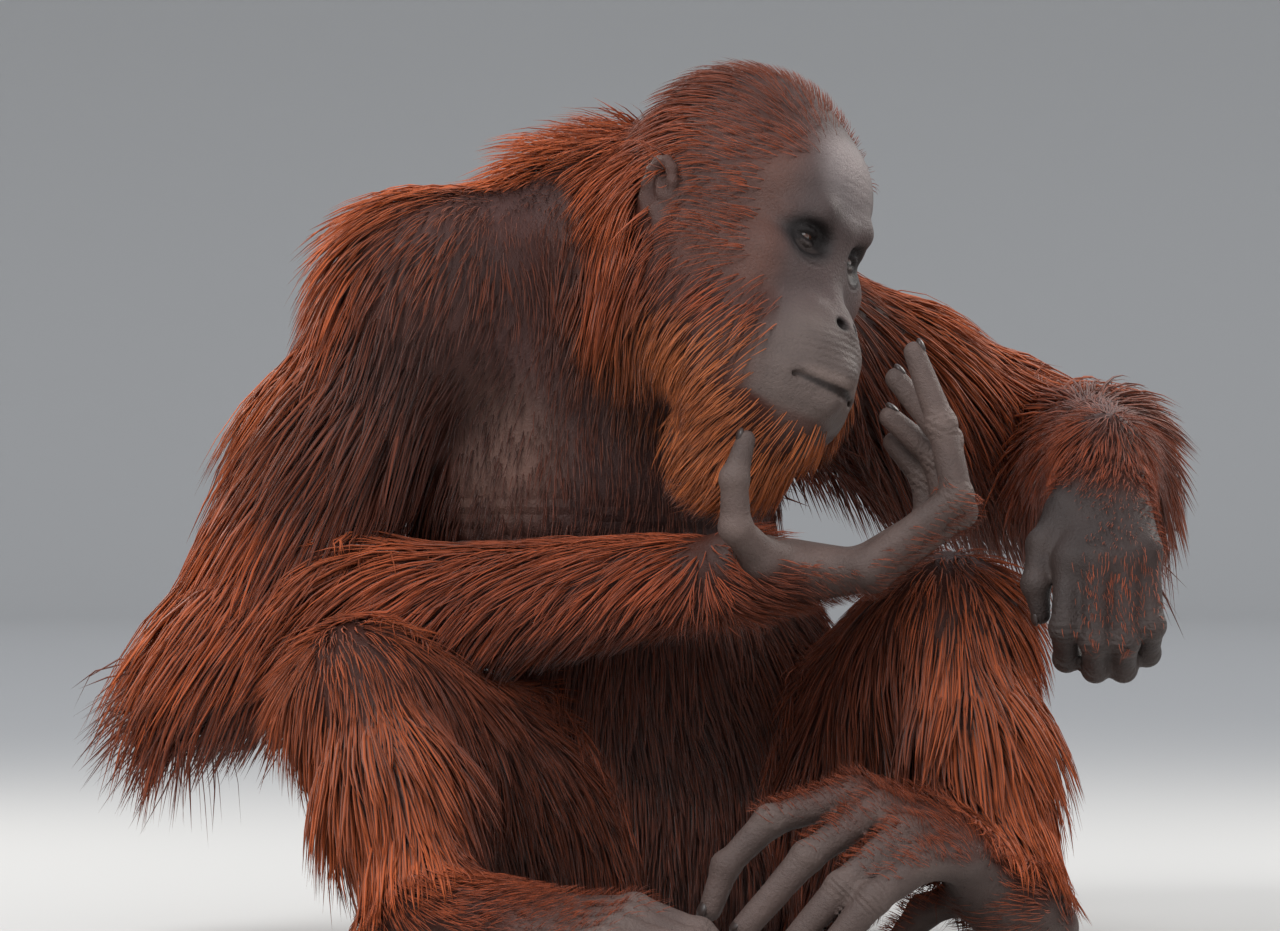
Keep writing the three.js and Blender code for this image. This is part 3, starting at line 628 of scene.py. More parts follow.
def coat(p, normal):
    """Density from 0 to 1, length in mm and direction of the hair at points on the skin."""
    own = shares(p)
    n = len(p)
    left, forward, up = head_axes(p)
    dense, long = np.zeros(n), np.zeros(n)
    lie = np.zeros((n, 3))

    def put(name, density, length, way):
        nonlocal dense, long, lie
        w = own[name]
        way = unit(np.broadcast_to(way, (n, 3)))
        dense = dense + w * density
        long = long + w * length
        lie = lie + w[:, None] * way

    front = normal @ FACE_WAY
    chest = smooth(front, 0.05, 0.45) * smooth(p[:, 2], 245, 310)
    throat = chest * smooth(p[:, 2], 420, 470)
    belly = smooth(front, 0.0, 0.4) * (1 - smooth(p[:, 2], 245, 310))
    nape = smooth(p[:, 2], 540, 600)
    spread = unit((p - mix(TORSO_AXIS_LOW, TORSO_AXIS_HIGH, 0.5)) * at(1, 1, 0))
    back_way = DOWN + spread * (0.35 + 0.5 * nape)[:, None]
    hanging = blob(p, at(-46, 34, 512), 74) * 0.5
    bare = chest * (1 - hanging)
    put("torso", 1 - 0.72 * bare - 0.25 * belly, 84 - 58 * bare - 30 * belly - 12 * nape, back_way)
    for s in SIDES:
        arm = unit(ELBOW[s] - SHOULDER[s])
        t = along_limb(p, SHOULDER[s], ELBOW[s])
        out = at(-0.85, 0.1, -0.25) if s == "right" else at(0.3, 0.25, -0.8)
        fringe = smooth(normal @ unit(out), -0.1, 0.6)
        inner = smooth(normal @ FACE_WAY, 0.3, 0.9) * (1 - t)
        put(f"upper_arm_{s}", 1 - 0.2 * inner, 104 + 104 * fringe * t ** 0.7,
            arm * 0.85 + out * (0.3 + 0.6 * fringe * t)[:, None] + DOWN * 0.3)
        fore = unit(ELBOW[s] - WRIST[s])
        t = along_limb(p, WRIST[s], ELBOW[s])
        put(f"forearm_{s}", np.full(n, 1.0), 44 + 52 * t, fore * 0.8 + DOWN * (0.35 + 0.4 * t)[:, None])
        leg = unit(HIP[s] - KNEE[s])
        inner_leg = smooth(normal @ at(0.8 if s == "right" else -0.8, 0, 0.6), 0.2, 0.9)
        put(f"thigh_{s}", 1 - 0.45 * inner_leg, 66 - 26 * inner_leg, leg * 0.6 + DOWN * 0.8)
        down = unit(ANKLE[s] - KNEE[s])
        t = along_limb(p, KNEE[s], ANKLE[s])
        cap = blob(p, KNEE[s] + at(0, -30, 44), 52)
        put(f"shin_{s}", 1 - 0.5 * cap, 62 + 34 * t * (1 - t) * 4 - 34 * smooth(t, 0.75, 1) - 30 * cap,
            down * 0.55 + DOWN * 0.75)
        hand_way = unit(FINGERS[s][1][0] - WRIST[s])
        bare_points = [f[j] for f in FINGERS[s] for j in (2, 3)] + THUMB[s][1:]
        tip_dist = np.minimum.reduce([far(p, q) for q in bare_points])
        inner_hand = smooth(normal @ (at(0, 0.2, 1) if s == "right" else at(0, 1, 0)), -0.2, 0.3)
        near_wrist = 1 - smooth(beyond(p, WRIST[s], hand_way), 10, 95)
        put(f"hand_{s}", (0.75 * near_wrist + 0.2) * (1 - inner_hand) * smooth(tip_dist, 30, 62),
            13 + 16 * near_wrist, hand_way)
        foot_way = unit(TOES[s][1][1] - ANKLE[s])
        toe_dist = np.minimum.reduce([far(p, f[-1]) for f in TOES[s]])
        top = smooth(normal @ at(-0.2, -0.4, 0.9), -0.1, 0.5)
        near_ankle = 1 - smooth(toe_dist, 120, 210)
        put(f"foot_{s}", top * (0.85 - 0.5 * near_ankle) * smooth(toe_dist, 60, 120),
            14 + 14 * (1 - near_ankle), foot_way)
    crown = smooth(up + 0.55 * np.abs(left) - 0.32 * forward, 74, 96)
    behind = smooth(-forward, 78, 104)
    bald = blob_head(left, forward, up, (0, 4, 60), (44, 60, 50))
    cheek = smooth(np.abs(left), 40, 54) * smooth(-up, 36, 62)
    chin = smooth(-up, 128, 142)
    lip_ring = 1 - smooth(forward, 26, 48)
    beard = np.maximum(cheek * smooth(-forward, -44, -16),
                       chin * smooth(forward, -60, 10) * (0.4 + 0.6 * lip_ring))
    temple = smooth(np.abs(left) - 0.55 * forward, 62, 84) * 0.75
    ear_gap = blob_head(np.abs(left), forward, up, (90, -100, 0), (30, 26, 34))
    density = np.maximum.reduce([crown, behind, beard, temple])
    density = np.clip(density * (1 - ear_gap) * (1 - 0.9 * bald), 0, 1)
    under_chin = smooth(-up, 150, 175)
    short = temple * (1 - behind) * (1 - crown) * (1 - beard)
    length = 32 + 18 * behind + 6 * beard * (1 - crown) - 12 * crown * (1 - behind)
    length = length + 8 * under_chin - 16 * short
    sideways = (HEAD_TURN @ at(1, 0, 0))[None] * left[:, None]
    hair_way = (HEAD_TURN @ at(0, 1, -0.35))[None] + sideways / 90
    beard_way = (HEAD_TURN @ at(0, 0.35, -1))[None] + sideways / 120
    w = smooth(-up, 20, 60)[:, None]
    put("head", density, length, hair_way * (1 - w) + beard_way * w)
    dense = np.clip(dense * (1 - 0.6 * throat * own["head"]), 0, 1)
    return dense, long, unit(lie)


def blob_head(left, forward, up, centre, radii):
    d = np.sqrt(sum(((v - c) / r) ** 2 for v, c, r in zip((left, forward, up), centre, radii)))
    return 1 - smooth(d, 0.65, 1.15)


DENSE, LONG, LIE = coat(SKIN_PLACES, SKIN_NORMALS)
print("hair covers", round(float((DENSE > 0.3).mean()), 2), "of the skin vertices")

# %% [markdown]
# Skin and hair take their colours from the same painter, a function of the place on the body.
# Bare skin is grey-brown, with paler lids, lips and knuckles, a paler forehead that is partly a painted
# highlight and knees whose pale patch is partly a painted sheen. Painted shade darkens the eye hollows, the
# mouth's crease, the nostrils and the whole left hand.
# Hair is red-brown, darker on the front of the body. Painted light brightens the shoulders, the tops of the
# upper arms and the outer shins; painted shade darkens the undersides, the inner right arm, the far side of
# the left forearm and the inner legs.

# %% Painter
def linear(r, g, b):
    """A colour picked on a screen, as light."""
    return np.array([((c / 255 + 0.055) / 1.055) ** 2.4 if c > 10 else c / 255 / 12.92 for c in (r, g, b)])


BARE = linear(74, 59, 56)
BARE_WARM = linear(112, 84, 72)
FOREHEAD_TONE_AND_HIGHLIGHT = linear(120, 110, 108)
# the colour of painted shade, laid in the eye hollows, the mouth's crease, the nostrils and on the left
# hand
SHADE_DARK = linear(26, 19, 18)
LID_PALE = linear(150, 134, 128)
MUZZLE = linear(100, 86, 80)
LIP_PALE = linear(130, 112, 104)
CHEST_SKIN = linear(70, 48, 45)
UNDER_COAT = linear(66, 30, 18)
FACE_SIDE = linear(84, 50, 38)
HAND_SKIN = linear(88, 72, 66)
HAIR = linear(132, 60, 30)
# the colour of painted light on the coat
HAIR_PAINTED_LIGHT = linear(178, 88, 40)
# dark hair, also laid on as painted shade
HAIR_DARK_AND_SHADE = linear(62, 30, 20)
BEARD_HAIR = linear(158, 86, 44)


def layered(colours, layers):
    """Colours laid over others, each as far as its own amount says."""
    for colour, amount in layers:
        colours = colours + (colour - colours) * np.clip(amount, 0, 1)[:, None]
    return colours


def skin_colour(p, normal, dense):
    own = shares(p)
    left, forward, up = head_axes(p)
    side = np.abs(left)
    head = own["head"]

    def patch(centre, radii):
        return head * blob_head(side, forward, up, centre, radii)

    layers = [
        (CHEST_SKIN, own["torso"]),
        (BARE_WARM, own["torso"] * blob(p, at(-150, -30, 392), 70) * 0.7),
        # the paler forehead is partly its own tone and partly a painted highlight
        (FOREHEAD_TONE_AND_HIGHLIGHT, patch((0, 6, 56), (40, 60, 40)) * 0.75),
        (FACE_SIDE, head * smooth(side - 0.3 * forward, 36, 66) * 0.75),
        (MUZZLE, head * smooth(forward, 18, 46) * smooth(-up, 40, 70) * 0.8),
        # painted shade darkens the eye hollows here, and the mouth's crease and the nostrils below
        (SHADE_DARK, patch((EYE_SPREAD, 6, -3), (29, 30, 23))),
        (LID_PALE, patch((EYE_SPREAD, 12, -8), (13, 9, 4.2)) * 0.22),
        (LIP_PALE, patch((0, 62, -103), (40, 26, 7)) * 0.6),
        (SHADE_DARK, patch((0, 70, -110), (48, 34, 3.4)) * 0.8),
        (SHADE_DARK, patch((9, 56, -59), (7, 12, 6)) * 0.9),
    ]
    for s in SIDES:
        hand = own[f"hand_{s}"]
        foot = own[f"foot_{s}"]
        layers.append((HAND_SKIN, (hand + foot) * 0.9))
        for place in [joint for f in FINGERS[s] + [THUMB[s]] for joint in f[1:3]]:
            layers.append((LIP_PALE, blob(p, place, 15) * hand * 0.28))
        for place in [joint for f in TOES[s] for joint in f[1:3]]:
            layers.append((LIP_PALE, blob(p, place, 17) * foot * 0.28))
        # pale knee patch: partly bare skin, partly a painted sheen
        layers.append((LIP_PALE, blob(p, KNEE[s] + at(0, -34, 46), 40) * 0.2))
    # painted shade darkens the whole left hand
    layers += [(SHADE_DARK, own["hand_left"] * 0.7), (UNDER_COAT, smooth(dense, 0.1, 0.6))]
    c = layered(np.tile(BARE, (len(p), 1)), layers)
    return c * (1 + 0.18 * waves(p, 38, 5)[:, :1]) * (1 + 0.16 * waves(p, 9, 6)[:, :1])


def hair_colour(p, normal):
    own = shares(p)
    left, _, up = head_axes(p)
    # painted light: hair that faces up is made brighter
    top_light = smooth(normal[:, 2] + 0.2, -0.2, 0.9)
    # painted shade: hair that faces down is made darker
    underside_shade = smooth(-normal[:, 2], -0.1, 0.7)
    # painted shade between the right upper arm and the body
    inner_arm_shade = blob(p, at(-190, -50, 430), 90) + blob(p, at(-215, -20, 330), 80)
    cheek = smooth(-np.abs(left), -70, -46) * (1 - smooth(-up, 60, 90))
    layers = [
        # painted light brightens the tops of the upper arms and the shoulders
        (HAIR_PAINTED_LIGHT, (own["upper_arm_right"] + own["upper_arm_left"]) * top_light * 0.8),
        (HAIR_PAINTED_LIGHT, own["torso"] * smooth(p[:, 2], 520, 640) * 0.55),
        # painted shade darkens the undersides
        (HAIR_DARK_AND_SHADE, underside_shade * 0.6),
        (HAIR_DARK_AND_SHADE, own["torso"] * smooth(normal @ FACE_WAY, 0, 0.6) * 0.75),
        # painted shade darkens the inner side of the right arm and the far side of the left forearm
        (HAIR_DARK_AND_SHADE, (own["upper_arm_right"] + own["torso"]) * np.clip(inner_arm_shade, 0, 1) * 0.85),
        (HAIR_DARK_AND_SHADE, own["forearm_left"] * smooth(p[:, 0], 330, 350) * 0.6),
        (HAIR_DARK_AND_SHADE, own["head"] * cheek * 0.25),
    ]
    for s in SIDES:
        inner = smooth(normal @ at(0.9 if s == "right" else -0.9, 0, 0), 0.1, 0.8)
        # painted shade darkens the inner side of the legs
        layers.append((HAIR_DARK_AND_SHADE, (own[f"thigh_{s}"] + own[f"shin_{s}"]) * inner * 0.6))
        # painted light brightens the outer side of the shins
        layers.append((HAIR_PAINTED_LIGHT, own[f"shin_{s}"] * (1 - inner) * 0.35))
    layers.append((BEARD_HAIR, own["head"] * smooth(-up, 60, 100) * 0.9))
    layers.append((HAIR_DARK_AND_SHADE, own["head"] * smooth(up, 40, 100) * 0.35))
    return layered(np.tile(HAIR, (len(p), 1)), layers) * (1 + 0.22 * waves(p, 60, 9)[:, :1])


# %% [markdown]
# Every finish below is written as sums on sockets, so a small class stands for one socket.
# Adding, multiplying or mixing two of them builds the node and hands back its output.

# %% Shader sums
class Wire:
    """A node socket that can be used in ordinary arithmetic."""

    def __init__(self, tree, socket):
        self.tree = tree
        self.socket = socket

    def node(self, kind, settings=None, inputs=None, output=0):
        made = self.tree.nodes.new(kind)
        for key, value in (settings or {}).items():
            if key == "stops":
                ramp = made.color_ramp
                while len(ramp.elements) < len(value):
                    ramp.elements.new(0.5)
                for element, (place, colour) in zip(ramp.elements, value):
                    element.position = place
                    element.color = colour
            else:
                setattr(made, key, value)
        for key, value in (inputs or {}).items():
            if isinstance(value, Wire):
                self.tree.links.new(value.socket, made.inputs[key])
            else:
                made.inputs[key].default_value = value
        return Wire(self.tree, made.outputs[output])

    def sum(self, operation, a, b):
        return self.node("ShaderNodeMath", {"operation": operation}, {0: a, 1: b})

    def __add__(self, other):
        return self.sum("ADD", self, other)

    def __sub__(self, other):
        return self.sum("SUBTRACT", self, other)

    def __mul__(self, other):
        return self.sum("MULTIPLY", self, other)

    def __rsub__(self, other):
        return self.sum("SUBTRACT", other, self)

    def power(self, other):
        return self.sum("POWER", self, other)

    __radd__ = __add__
    __rmul__ = __mul__

    def scaled(self, amount):
        """A colour or vector times a number or a value."""
        return self.node("ShaderNodeVectorMath", {"operation": "SCALE"}, {0: self, "Scale": amount})


def finish(name, make, **constants):
    """A material: make(wire) gives what varies over it, and constants go on the shader itself."""
    material = bpy.data.materials.new(name)
    material.use_nodes = True
    tree = material.node_tree
    shader = tree.nodes["Principled BSDF"]
    for key, value in constants.items():
        shader.inputs[key.replace("_", " ")].default_value = value
    for key, value in make(Wire(tree, None)).items():
        tree.links.new(value.socket, shader.inputs[key])
    return material


def reading(wire, name, output=2):
    settings = {"attribute_name": name, "attribute_type": "GEOMETRY"}
    return wire.node("ShaderNodeAttribute", settings, None, output)


def painted(wire):
    return reading(wire, "tone", 0)


def noise(wire, scale, detail=3.0):
    where = wire.node("ShaderNodeTexCoord", output=3)
    return wire.node("ShaderNodeTexNoise", None, {"Vector": where, "Scale": scale, "Detail": detail})


def skin_nodes(wire):
    fine = noise(wire, 420.0)
    pores = noise(wire, 1300.0, 1.0)
    folds = reading(wire, "fold")
    tone = painted(wire).scaled(0.8 + fine * 0.4)
    height = fine * 0.5 + pores * 0.3 + folds * 1.6
    normal = wire.node("ShaderNodeBump", None, {"Strength": 0.8, "Distance": 0.0024, "Height": height})
    return {"Base Color": tone, "Roughness": 0.46 + fine * 0.22, "Normal": normal}


SKIN_FINISH = finish("bare skin", skin_nodes, Specular_IOR_Level=0.38)
print("made the skin's finish")

# %% Skin mesh
def shown(name, data):
    """Puts an object in the scene."""
    piece = bpy.data.objects.new(name, data)
    bpy.context.scene.collection.objects.link(piece)
    return piece


def mesh_of(name, places, faces, material, smooth_faces=True):
    """A mesh from millimetres in the animal's own frame."""
    mesh = bpy.data.meshes.new(name)
    faces = np.asarray(faces)
    count, sides = faces.shape
    mesh.vertices.add(len(places))
    mesh.vertices.foreach_set("co", ((places + OFFSET) / 1000).astype(np.float32).ravel())
    mesh.loops.add(count * sides)
    mesh.loops.foreach_set("vertex_index", faces.astype(np.int32).ravel())
    mesh.polygons.add(count)
    mesh.polygons.foreach_set("loop_start", np.arange(count, dtype=np.int32) * sides)
    mesh.polygons.foreach_set("use_smooth", np.full(count, smooth_faces))
    mesh.update(calc_edges=True)
    mesh.materials.append(material)
    return shown(name, mesh)


def paint(mesh, name, values):
    colours = np.ones((len(values), 4), np.float32)
    colours[:, :3] = np.clip(values, 0, 1)
    attribute = mesh.attributes.new(name, "FLOAT_COLOR", "POINT")
    attribute.data.foreach_set("color", colours.ravel())


def note(mesh, name, values):
    attribute = mesh.attributes.new(name, "FLOAT", "POINT")
    attribute.data.foreach_set("value", np.asarray(values, np.float32))


def folds(p):
    """Height of creases: the chest's long folds, the lip's fine lines and the bags under the eyes."""
    left, forward, up = head_axes(p)
    level = p[:, 2] - (p[:, 0] + 60) * -0.07
    chest = sum(np.exp(-((level - z - 3 * np.sin(p[:, 0] / 27 + z)) / 3.6) ** 2) for z in (328, 344, 357))
    chest = chest * blob(p, at(-60, -10, 342), 150)
    lip = np.sin(up * 1.15 + 0.02 * left ** 2 / 6)
    lip = lip * blob_head(left, forward, up, (0, 62, -82), (46, 40, 26))
    brow = np.sin(up * 0.8) * blob_head(left, forward, up, (0, 20, 44), (34, 40, 26)) * 0.4
    bags = np.sin(np.sqrt((np.abs(left) - EYE_SPREAD) ** 2 + (up - 2) ** 2) * 1.0)
    bags = bags * blob_head(np.abs(left), forward, up, (EYE_SPREAD, 6, -16), (22, 24, 13))
    knuckle = sum(np.sin(((p - f[j]) @ unit(f[j + 1] - f[j - 1])) * 1.3)
                  * blob(p, f[j], 16) for s in SIDES for f in FINGERS[s] + TOES[s] for j in (1, 2))
    return 0.5 - 0.5 * chest + 0.09 * lip + 0.1 * brow + 0.22 * bags + 0.2 * knuckle


skin = mesh_of("skin", SKIN_PLACES, SKIN_FACES, SKIN_FINISH)
paint(skin.data, "tone", skin_colour(SKIN_PLACES, SKIN_NORMALS, DENSE))
note(skin.data, "fold", folds(SKIN_PLACES))
FLESH = ["torso", "neck", "head", "ear_right", "ear_left"]
FLESH += [f"{n}_{s}" for s in SIDES for n in ("upper_arm", "forearm", "hand", "thigh", "shin", "foot")]
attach(skin, "root")
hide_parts(*FLESH)
print("skin triangles", 2 * len(SKIN_FACES))

# %% [markdown]
# The eyes are wet balls that sit in their sockets behind the lids. A dark iris and pupil are rings
# round the line of sight, so the finish measures how far a point lies from that line.

# %% Eyes
GAZE = unit(HEAD_TURN @ at(0.03, -1, -0.34))


def eye_nodes(wire):
    away = reading(wire, "away")
    colour = away.node("ShaderNodeValToRGB", {"stops": [
        (0.0, (0.004, 0.003, 0.002, 1)), (0.24, (0.004, 0.003, 0.002, 1)), (0.29, (0.06, 0.02, 0.008, 1)),
        (0.5, (0.08, 0.026, 0.01, 1)), (0.6, (0.02, 0.01, 0.007, 1)), (0.85, (0.045, 0.03, 0.026, 1)),
    ]}, {0: away})
    return {"Base Color": colour}


EYE_FINISH = finish("wet eye", eye_nodes, Roughness=0.08, Coat_Weight=1.0, Coat_Roughness=0.03)


def ball(name, centre, radii, turn, rings, material):
    """A closed round form: rings from pole to pole along its own third axis."""
    up = np.linspace(0, math.pi, rings + 1)[1:-1]
    round_ = np.linspace(0, 2 * math.pi, 2 * rings, endpoint=False)
    u, r = np.meshgrid(up, round_, indexing="ij")
    sphere = np.stack([np.sin(u) * np.cos(r), np.sin(u) * np.sin(r), np.cos(u)], -1).reshape(-1, 3)
    sphere = np.concatenate([sphere, [[0, 0, 1], [0, 0, -1]]])
    n = 2 * rings
    faces = []
    for i in range(len(up) - 1):
        for k in range(n):
            a, b = i * n + k, i * n + (k + 1) % n
            faces += [(a, a + n, b + n), (a, b + n, b)]
    top, bottom, last = len(sphere) - 2, len(sphere) - 1, (len(up) - 1) * n
    for k in range(n):
        faces += [(top, k, (k + 1) % n), (bottom, last + (k + 1) % n, last + k)]
    return mesh_of(name, centre + (sphere * radii) @ turn.T, faces, material), sphere


def frame_along(way, hint):
    """A turn whose third axis is way."""
    z = unit(way)
    x = unit(np.cross(hint, z))
    return np.stack([x, np.cross(z, x), z], 1)


for s in SIDES:
    centre = on_head(*EYE_AT[s])
    turn = frame_along(GAZE, at(0, 0, 1))
    eyeball, sphere = ball(f"eyeball_{s}", centre, at(1, 1, 1) * EYE_RADIUS, turn, 20, EYE_FINISH)
    note(eyeball.data, "away", np.sqrt(sphere[:, 0] ** 2 + sphere[:, 1] ** 2) + (sphere[:, 2] < 0) * 1.0)
    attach(eyeball, "root")
    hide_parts(f"eye_{s}")
print("two eyes look along", GAZE.round(2))

# %% Nails
NAIL_FINISH = finish("dark nail", lambda wire: {"Roughness": 0.3 + noise(wire, 300.0) * 0.2},
                     Base_Color=(0.035, 0.022, 0.018, 1), Specular_IOR_Level=0.5)
nails = []


def nail(name, points, radius, back):
    """A small curved plate on the back of a digit's tip."""
    way = unit(points[-1] - points[-2])
    back = unit(back - way * (back @ way))
    turn = np.stack([np.cross(way, back), way, back], 1)
    centre = points[-1] + way * radius * 0.25 + back * radius * 0.72
    piece, _ = ball(name, centre, radius * at(0.66, 0.8, 0.34), turn, 7, NAIL_FINISH)
    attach(piece, "root")
    nails.append(piece)


NAIL_BACKS = {
    "right": (at(1, 0, 0.1), at(-1, -0.2, 0), at(0, -0.3, 1)),
    "left": (at(0, 0.3, -1), at(-1, -0.4, 0), at(-0.6, -0.4, 0.7)),
}
TOE_TIP = {"right": 9.0, "left": 9.5}
for s in SIDES:
    finger_back, thumb_back, toe_back = NAIL_BACKS[s]
    for i, f in enumerate(FINGERS[s]):
        nail(f"fingernail_{s}_{i + 1}", f, FINGER_RADII[s][-1], finger_back)
    nail(f"thumbnail_{s}", THUMB[s], THUMB_RADII[-1], thumb_back)
    for i, f in enumerate(TOES[s]):
        nail(f"toenail_{s}_{i + 1}", f, TOE_TIP[s], toe_back)
print("nails", len(nails))

# %% [markdown]
# The coat could be particle hair, but that has no surface to keep or to touch. Instead each tuft is a
# thin closed spike of mesh that starts just under the skin, follows the lie of the coat and droops.
# Tips of neighbouring tufts are drawn together, which makes the uneven locks that real hair falls into.

# %% Hair finish
def hair_nodes(wire):
    along, own = reading(wire, "along"), reading(wire, "own")
    streak = noise(wire, 240.0, 2.0)
    # tufts are darker at the root and lighter towards the tip; the lighter tips are partly a painted
    # backlight on the coat's edges
    bright = 0.3 + along.power(0.8) * 0.6 + own.power(1.5) * 0.75 + streak * 0.25
    tone = painted(wire).scaled(bright)
    return {"Base Color": tone, "Roughness": 0.5 + own * 0.2}


HAIR_FINISH = finish("red coat", hair_nodes, Specular_IOR_Level=0.3, Sheen_Weight=0.12, Sheen_Roughness=0.4)

# %% Roots
TUFTS = 67000
BONES = 5 # points along a tuft, the last one its tip
EDGES = 3 # sides of a tuft


def pick_roots(count):
    """Random places on the skin, more where the coat is dense and on the head, where tufts are small."""
    quads = SKIN_PLACES[SKIN_FACES]
    area = 0.5 * np.linalg.norm(np.cross(quads[:, 2] - quads[:, 0], quads[:, 3] - quads[:, 1]), axis=1)
    dense = DENSE[SKIN_FACES].mean(1)
    long = LONG[SKIN_FACES].mean(1)
    want = area * np.where(dense > 0.04, dense, 0) * (60 / np.clip(long, 14, 90)) ** 1.1
    want = want * np.where(quads[:, :, 2].mean(1) < 6, 0, 1)
    face = RNG.choice(len(quads), count, p=want / want.sum())
    a, b = RNG.uniform(size=(2, count, 1))
    q = quads[face]
    place = (q[:, 0] * (1 - a) + q[:, 1] * a) * (1 - b) + (q[:, 3] * (1 - a) + q[:, 2] * a) * b
    normal = SKIN_NORMALS[SKIN_FACES[face]].mean(1)
    return place, unit(normal)


roots, root_normals = pick_roots(TUFTS)
root_dense, root_long, root_lie = coat(roots, root_normals)
print("roots", len(roots), "mean length", round(float(root_long.mean())), "mm")

# %% Grow the tufts
SETBACK = 2.0 # how far a root is sunk in the skin
LIFT = 0.30 # how steeply hair leaves the skin
DROOP = 0.16 # how fast it turns down along its length


def grow(place, normal, lie, length):
    """Points along each tuft, from root to tip."""
    wobble = waves(place, 75, 21) * 0.16 + waves(place, 24, 22) * 0.13 + RNG.normal(size=place.shape) * 0.07
    flat = lie + wobble
    flat = unit(flat - normal * (flat * normal).sum(1)[:, None])
    nape = blob(place, at(0, 90, 640), 105)
    way = unit(flat + normal * (LIFT * RNG.uniform(0.6, 1.5, (len(place), 1)) * (1 + 1.8 * nape)[:, None]))
    line = [place - normal * SETBACK]
    step = (length / (BONES - 1))[:, None]
    p = place - normal * SETBACK
    for k in range(1, BONES):
        p = p + way * step
        clear = 1.2 + 1.6 * k * np.clip(length / 70, 0.2, 1.2)
        miss = clear - skin_distance(p)
        close = miss > 0
        if close.any():
            p[close] = p[close] + skin_slope(p[close]) * np.clip(miss[close], 0, 18)[:, None]
        line.append(p)
        way = unit(line[-1] - line[-2])
        way = unit(way + flat * 0.22 + DOWN * (DROOP * np.clip(length / 60, 0, 1.6))[:, None])
    return np.stack(line, 1)


root_long = root_long * RNG.uniform(0.72, 1.12, TUFTS)
lines = grow(roots, root_normals, root_lie, root_long)

# %% Gather into locks
guides = RNG.choice(TUFTS, TUFTS // 22, replace=False)
tree = KDTree(len(guides))
for i, g in enumerate(guides):
    tree.insert(roots[g], i)
tree.balance()
nearest = np.array([tree.find(r)[1] for r in roots])
guide = guides[nearest]
reach = np.linalg.norm(roots - roots[guide], axis=1)
pull = np.clip(1 - reach / 34, 0, 1) * np.clip(root_long / 60, 0, 1) * 0.62
share = (np.arange(BONES) / (BONES - 1)) ** 1.6
scale = (root_long / root_long[guide])[:, None, None]
guided = roots[:, None] + (lines[guide] - roots[guide][:, None]) * np.clip(scale, 0.6, 1.4)
drift = (roots[guide] - roots)[:, None] * share[None, :, None]
target = guided + drift
lines = lines + (target - lines) * (pull[:, None] * share[None])[:, :, None]
print("locks", len(guides))

# %% Keep the coat in the solids' box and off the floor
FRINGE_PAST = 27 # how far the hair tips of the right elbow may pass the solids' box
LIMIT_LOW = np.array(cad_box[0]) * 1000 - OFFSET - at(FRINGE_PAST, 9, 9)
LIMIT_HIGH = np.array(cad_box[1]) * 1000 - OFFSET + 9
for _ in range(7):
    over = ((lines < LIMIT_LOW) | (lines > LIMIT_HIGH)).any((1, 2))
    lines[over] = roots[over][:, None] + (lines[over] - roots[over][:, None]) * 0.88
lines[:, :, 2] = np.maximum(lines[:, :, 2], 2.5 + RNG.uniform(0, 5, (TUFTS, 1)))
print("tufts shortened to the box", int(over.sum()))

# %% [markdown]
# To colour the coat for other programs, each tuft gets a small patch on a map of the body.
# The map unrolls every part like a label from a bottle: round the limb one way, along it the other.

# %% Map of the body
AXES = {"torso": (TORSO_AXIS_LOW, TORSO_AXIS_HIGH), "head": (on_head(0, -60, -160), on_head(0, -60, 110))}
for s in SIDES:
    AXES[f"upper_arm_{s}"] = (SHOULDER[s], ELBOW[s])
    AXES[f"forearm_{s}"] = (ELBOW[s], WRIST[s])
    AXES[f"thigh_{s}"] = (HIP[s], KNEE[s])
    AXES[f"shin_{s}"] = (KNEE[s], ANKLE[s])
    AXES[f"hand_{s}"] = (WRIST[s], FINGERS[s][1][1])
    AXES[f"foot_{s}"] = (ANKLE[s], TOES[s][1][2])
MAP_COLUMNS = 4
PATCH = 0.003


def body_map(p, part):
    """A place between 0 and 1 on the unrolled body for each point."""
    uv = np.zeros((len(p), 2))
    for i, name in enumerate(PARTS):
        mine = part == i
        a, b = AXES[name]
        turn = frame_along(b - a, at(0.13, 0.91, 0.21))
        local = (p[mine] - a) @ turn
        around = (np.arctan2(local[:, 1], local[:, 0]) / (2 * math.pi)) % 1
        along = np.clip(local[:, 2] / np.linalg.norm(b - a) * 0.7 + 0.15, 0, 1)
        column, row = i % MAP_COLUMNS, i // MAP_COLUMNS
        uv[mine, 0] = (column + 0.03 + 0.93 * around) / MAP_COLUMNS
        uv[mine, 1] = (row + 0.03 + 0.93 * along) / MAP_COLUMNS
    return uv


root_part = part_distances(roots).argmin(0)
root_uv = body_map(roots, root_part)
root_tone = hair_colour(roots, root_normals)
root_own = RNG.uniform(size=TUFTS)

# %% Build the coat's pieces
TUFT_WIDE = 2.3 # of a long tuft at its widest
TUFT_THIN = 0.45 # thickness as a share of width
PROFILE = np.array([0.75, 1.0, 0.85, 0.5])


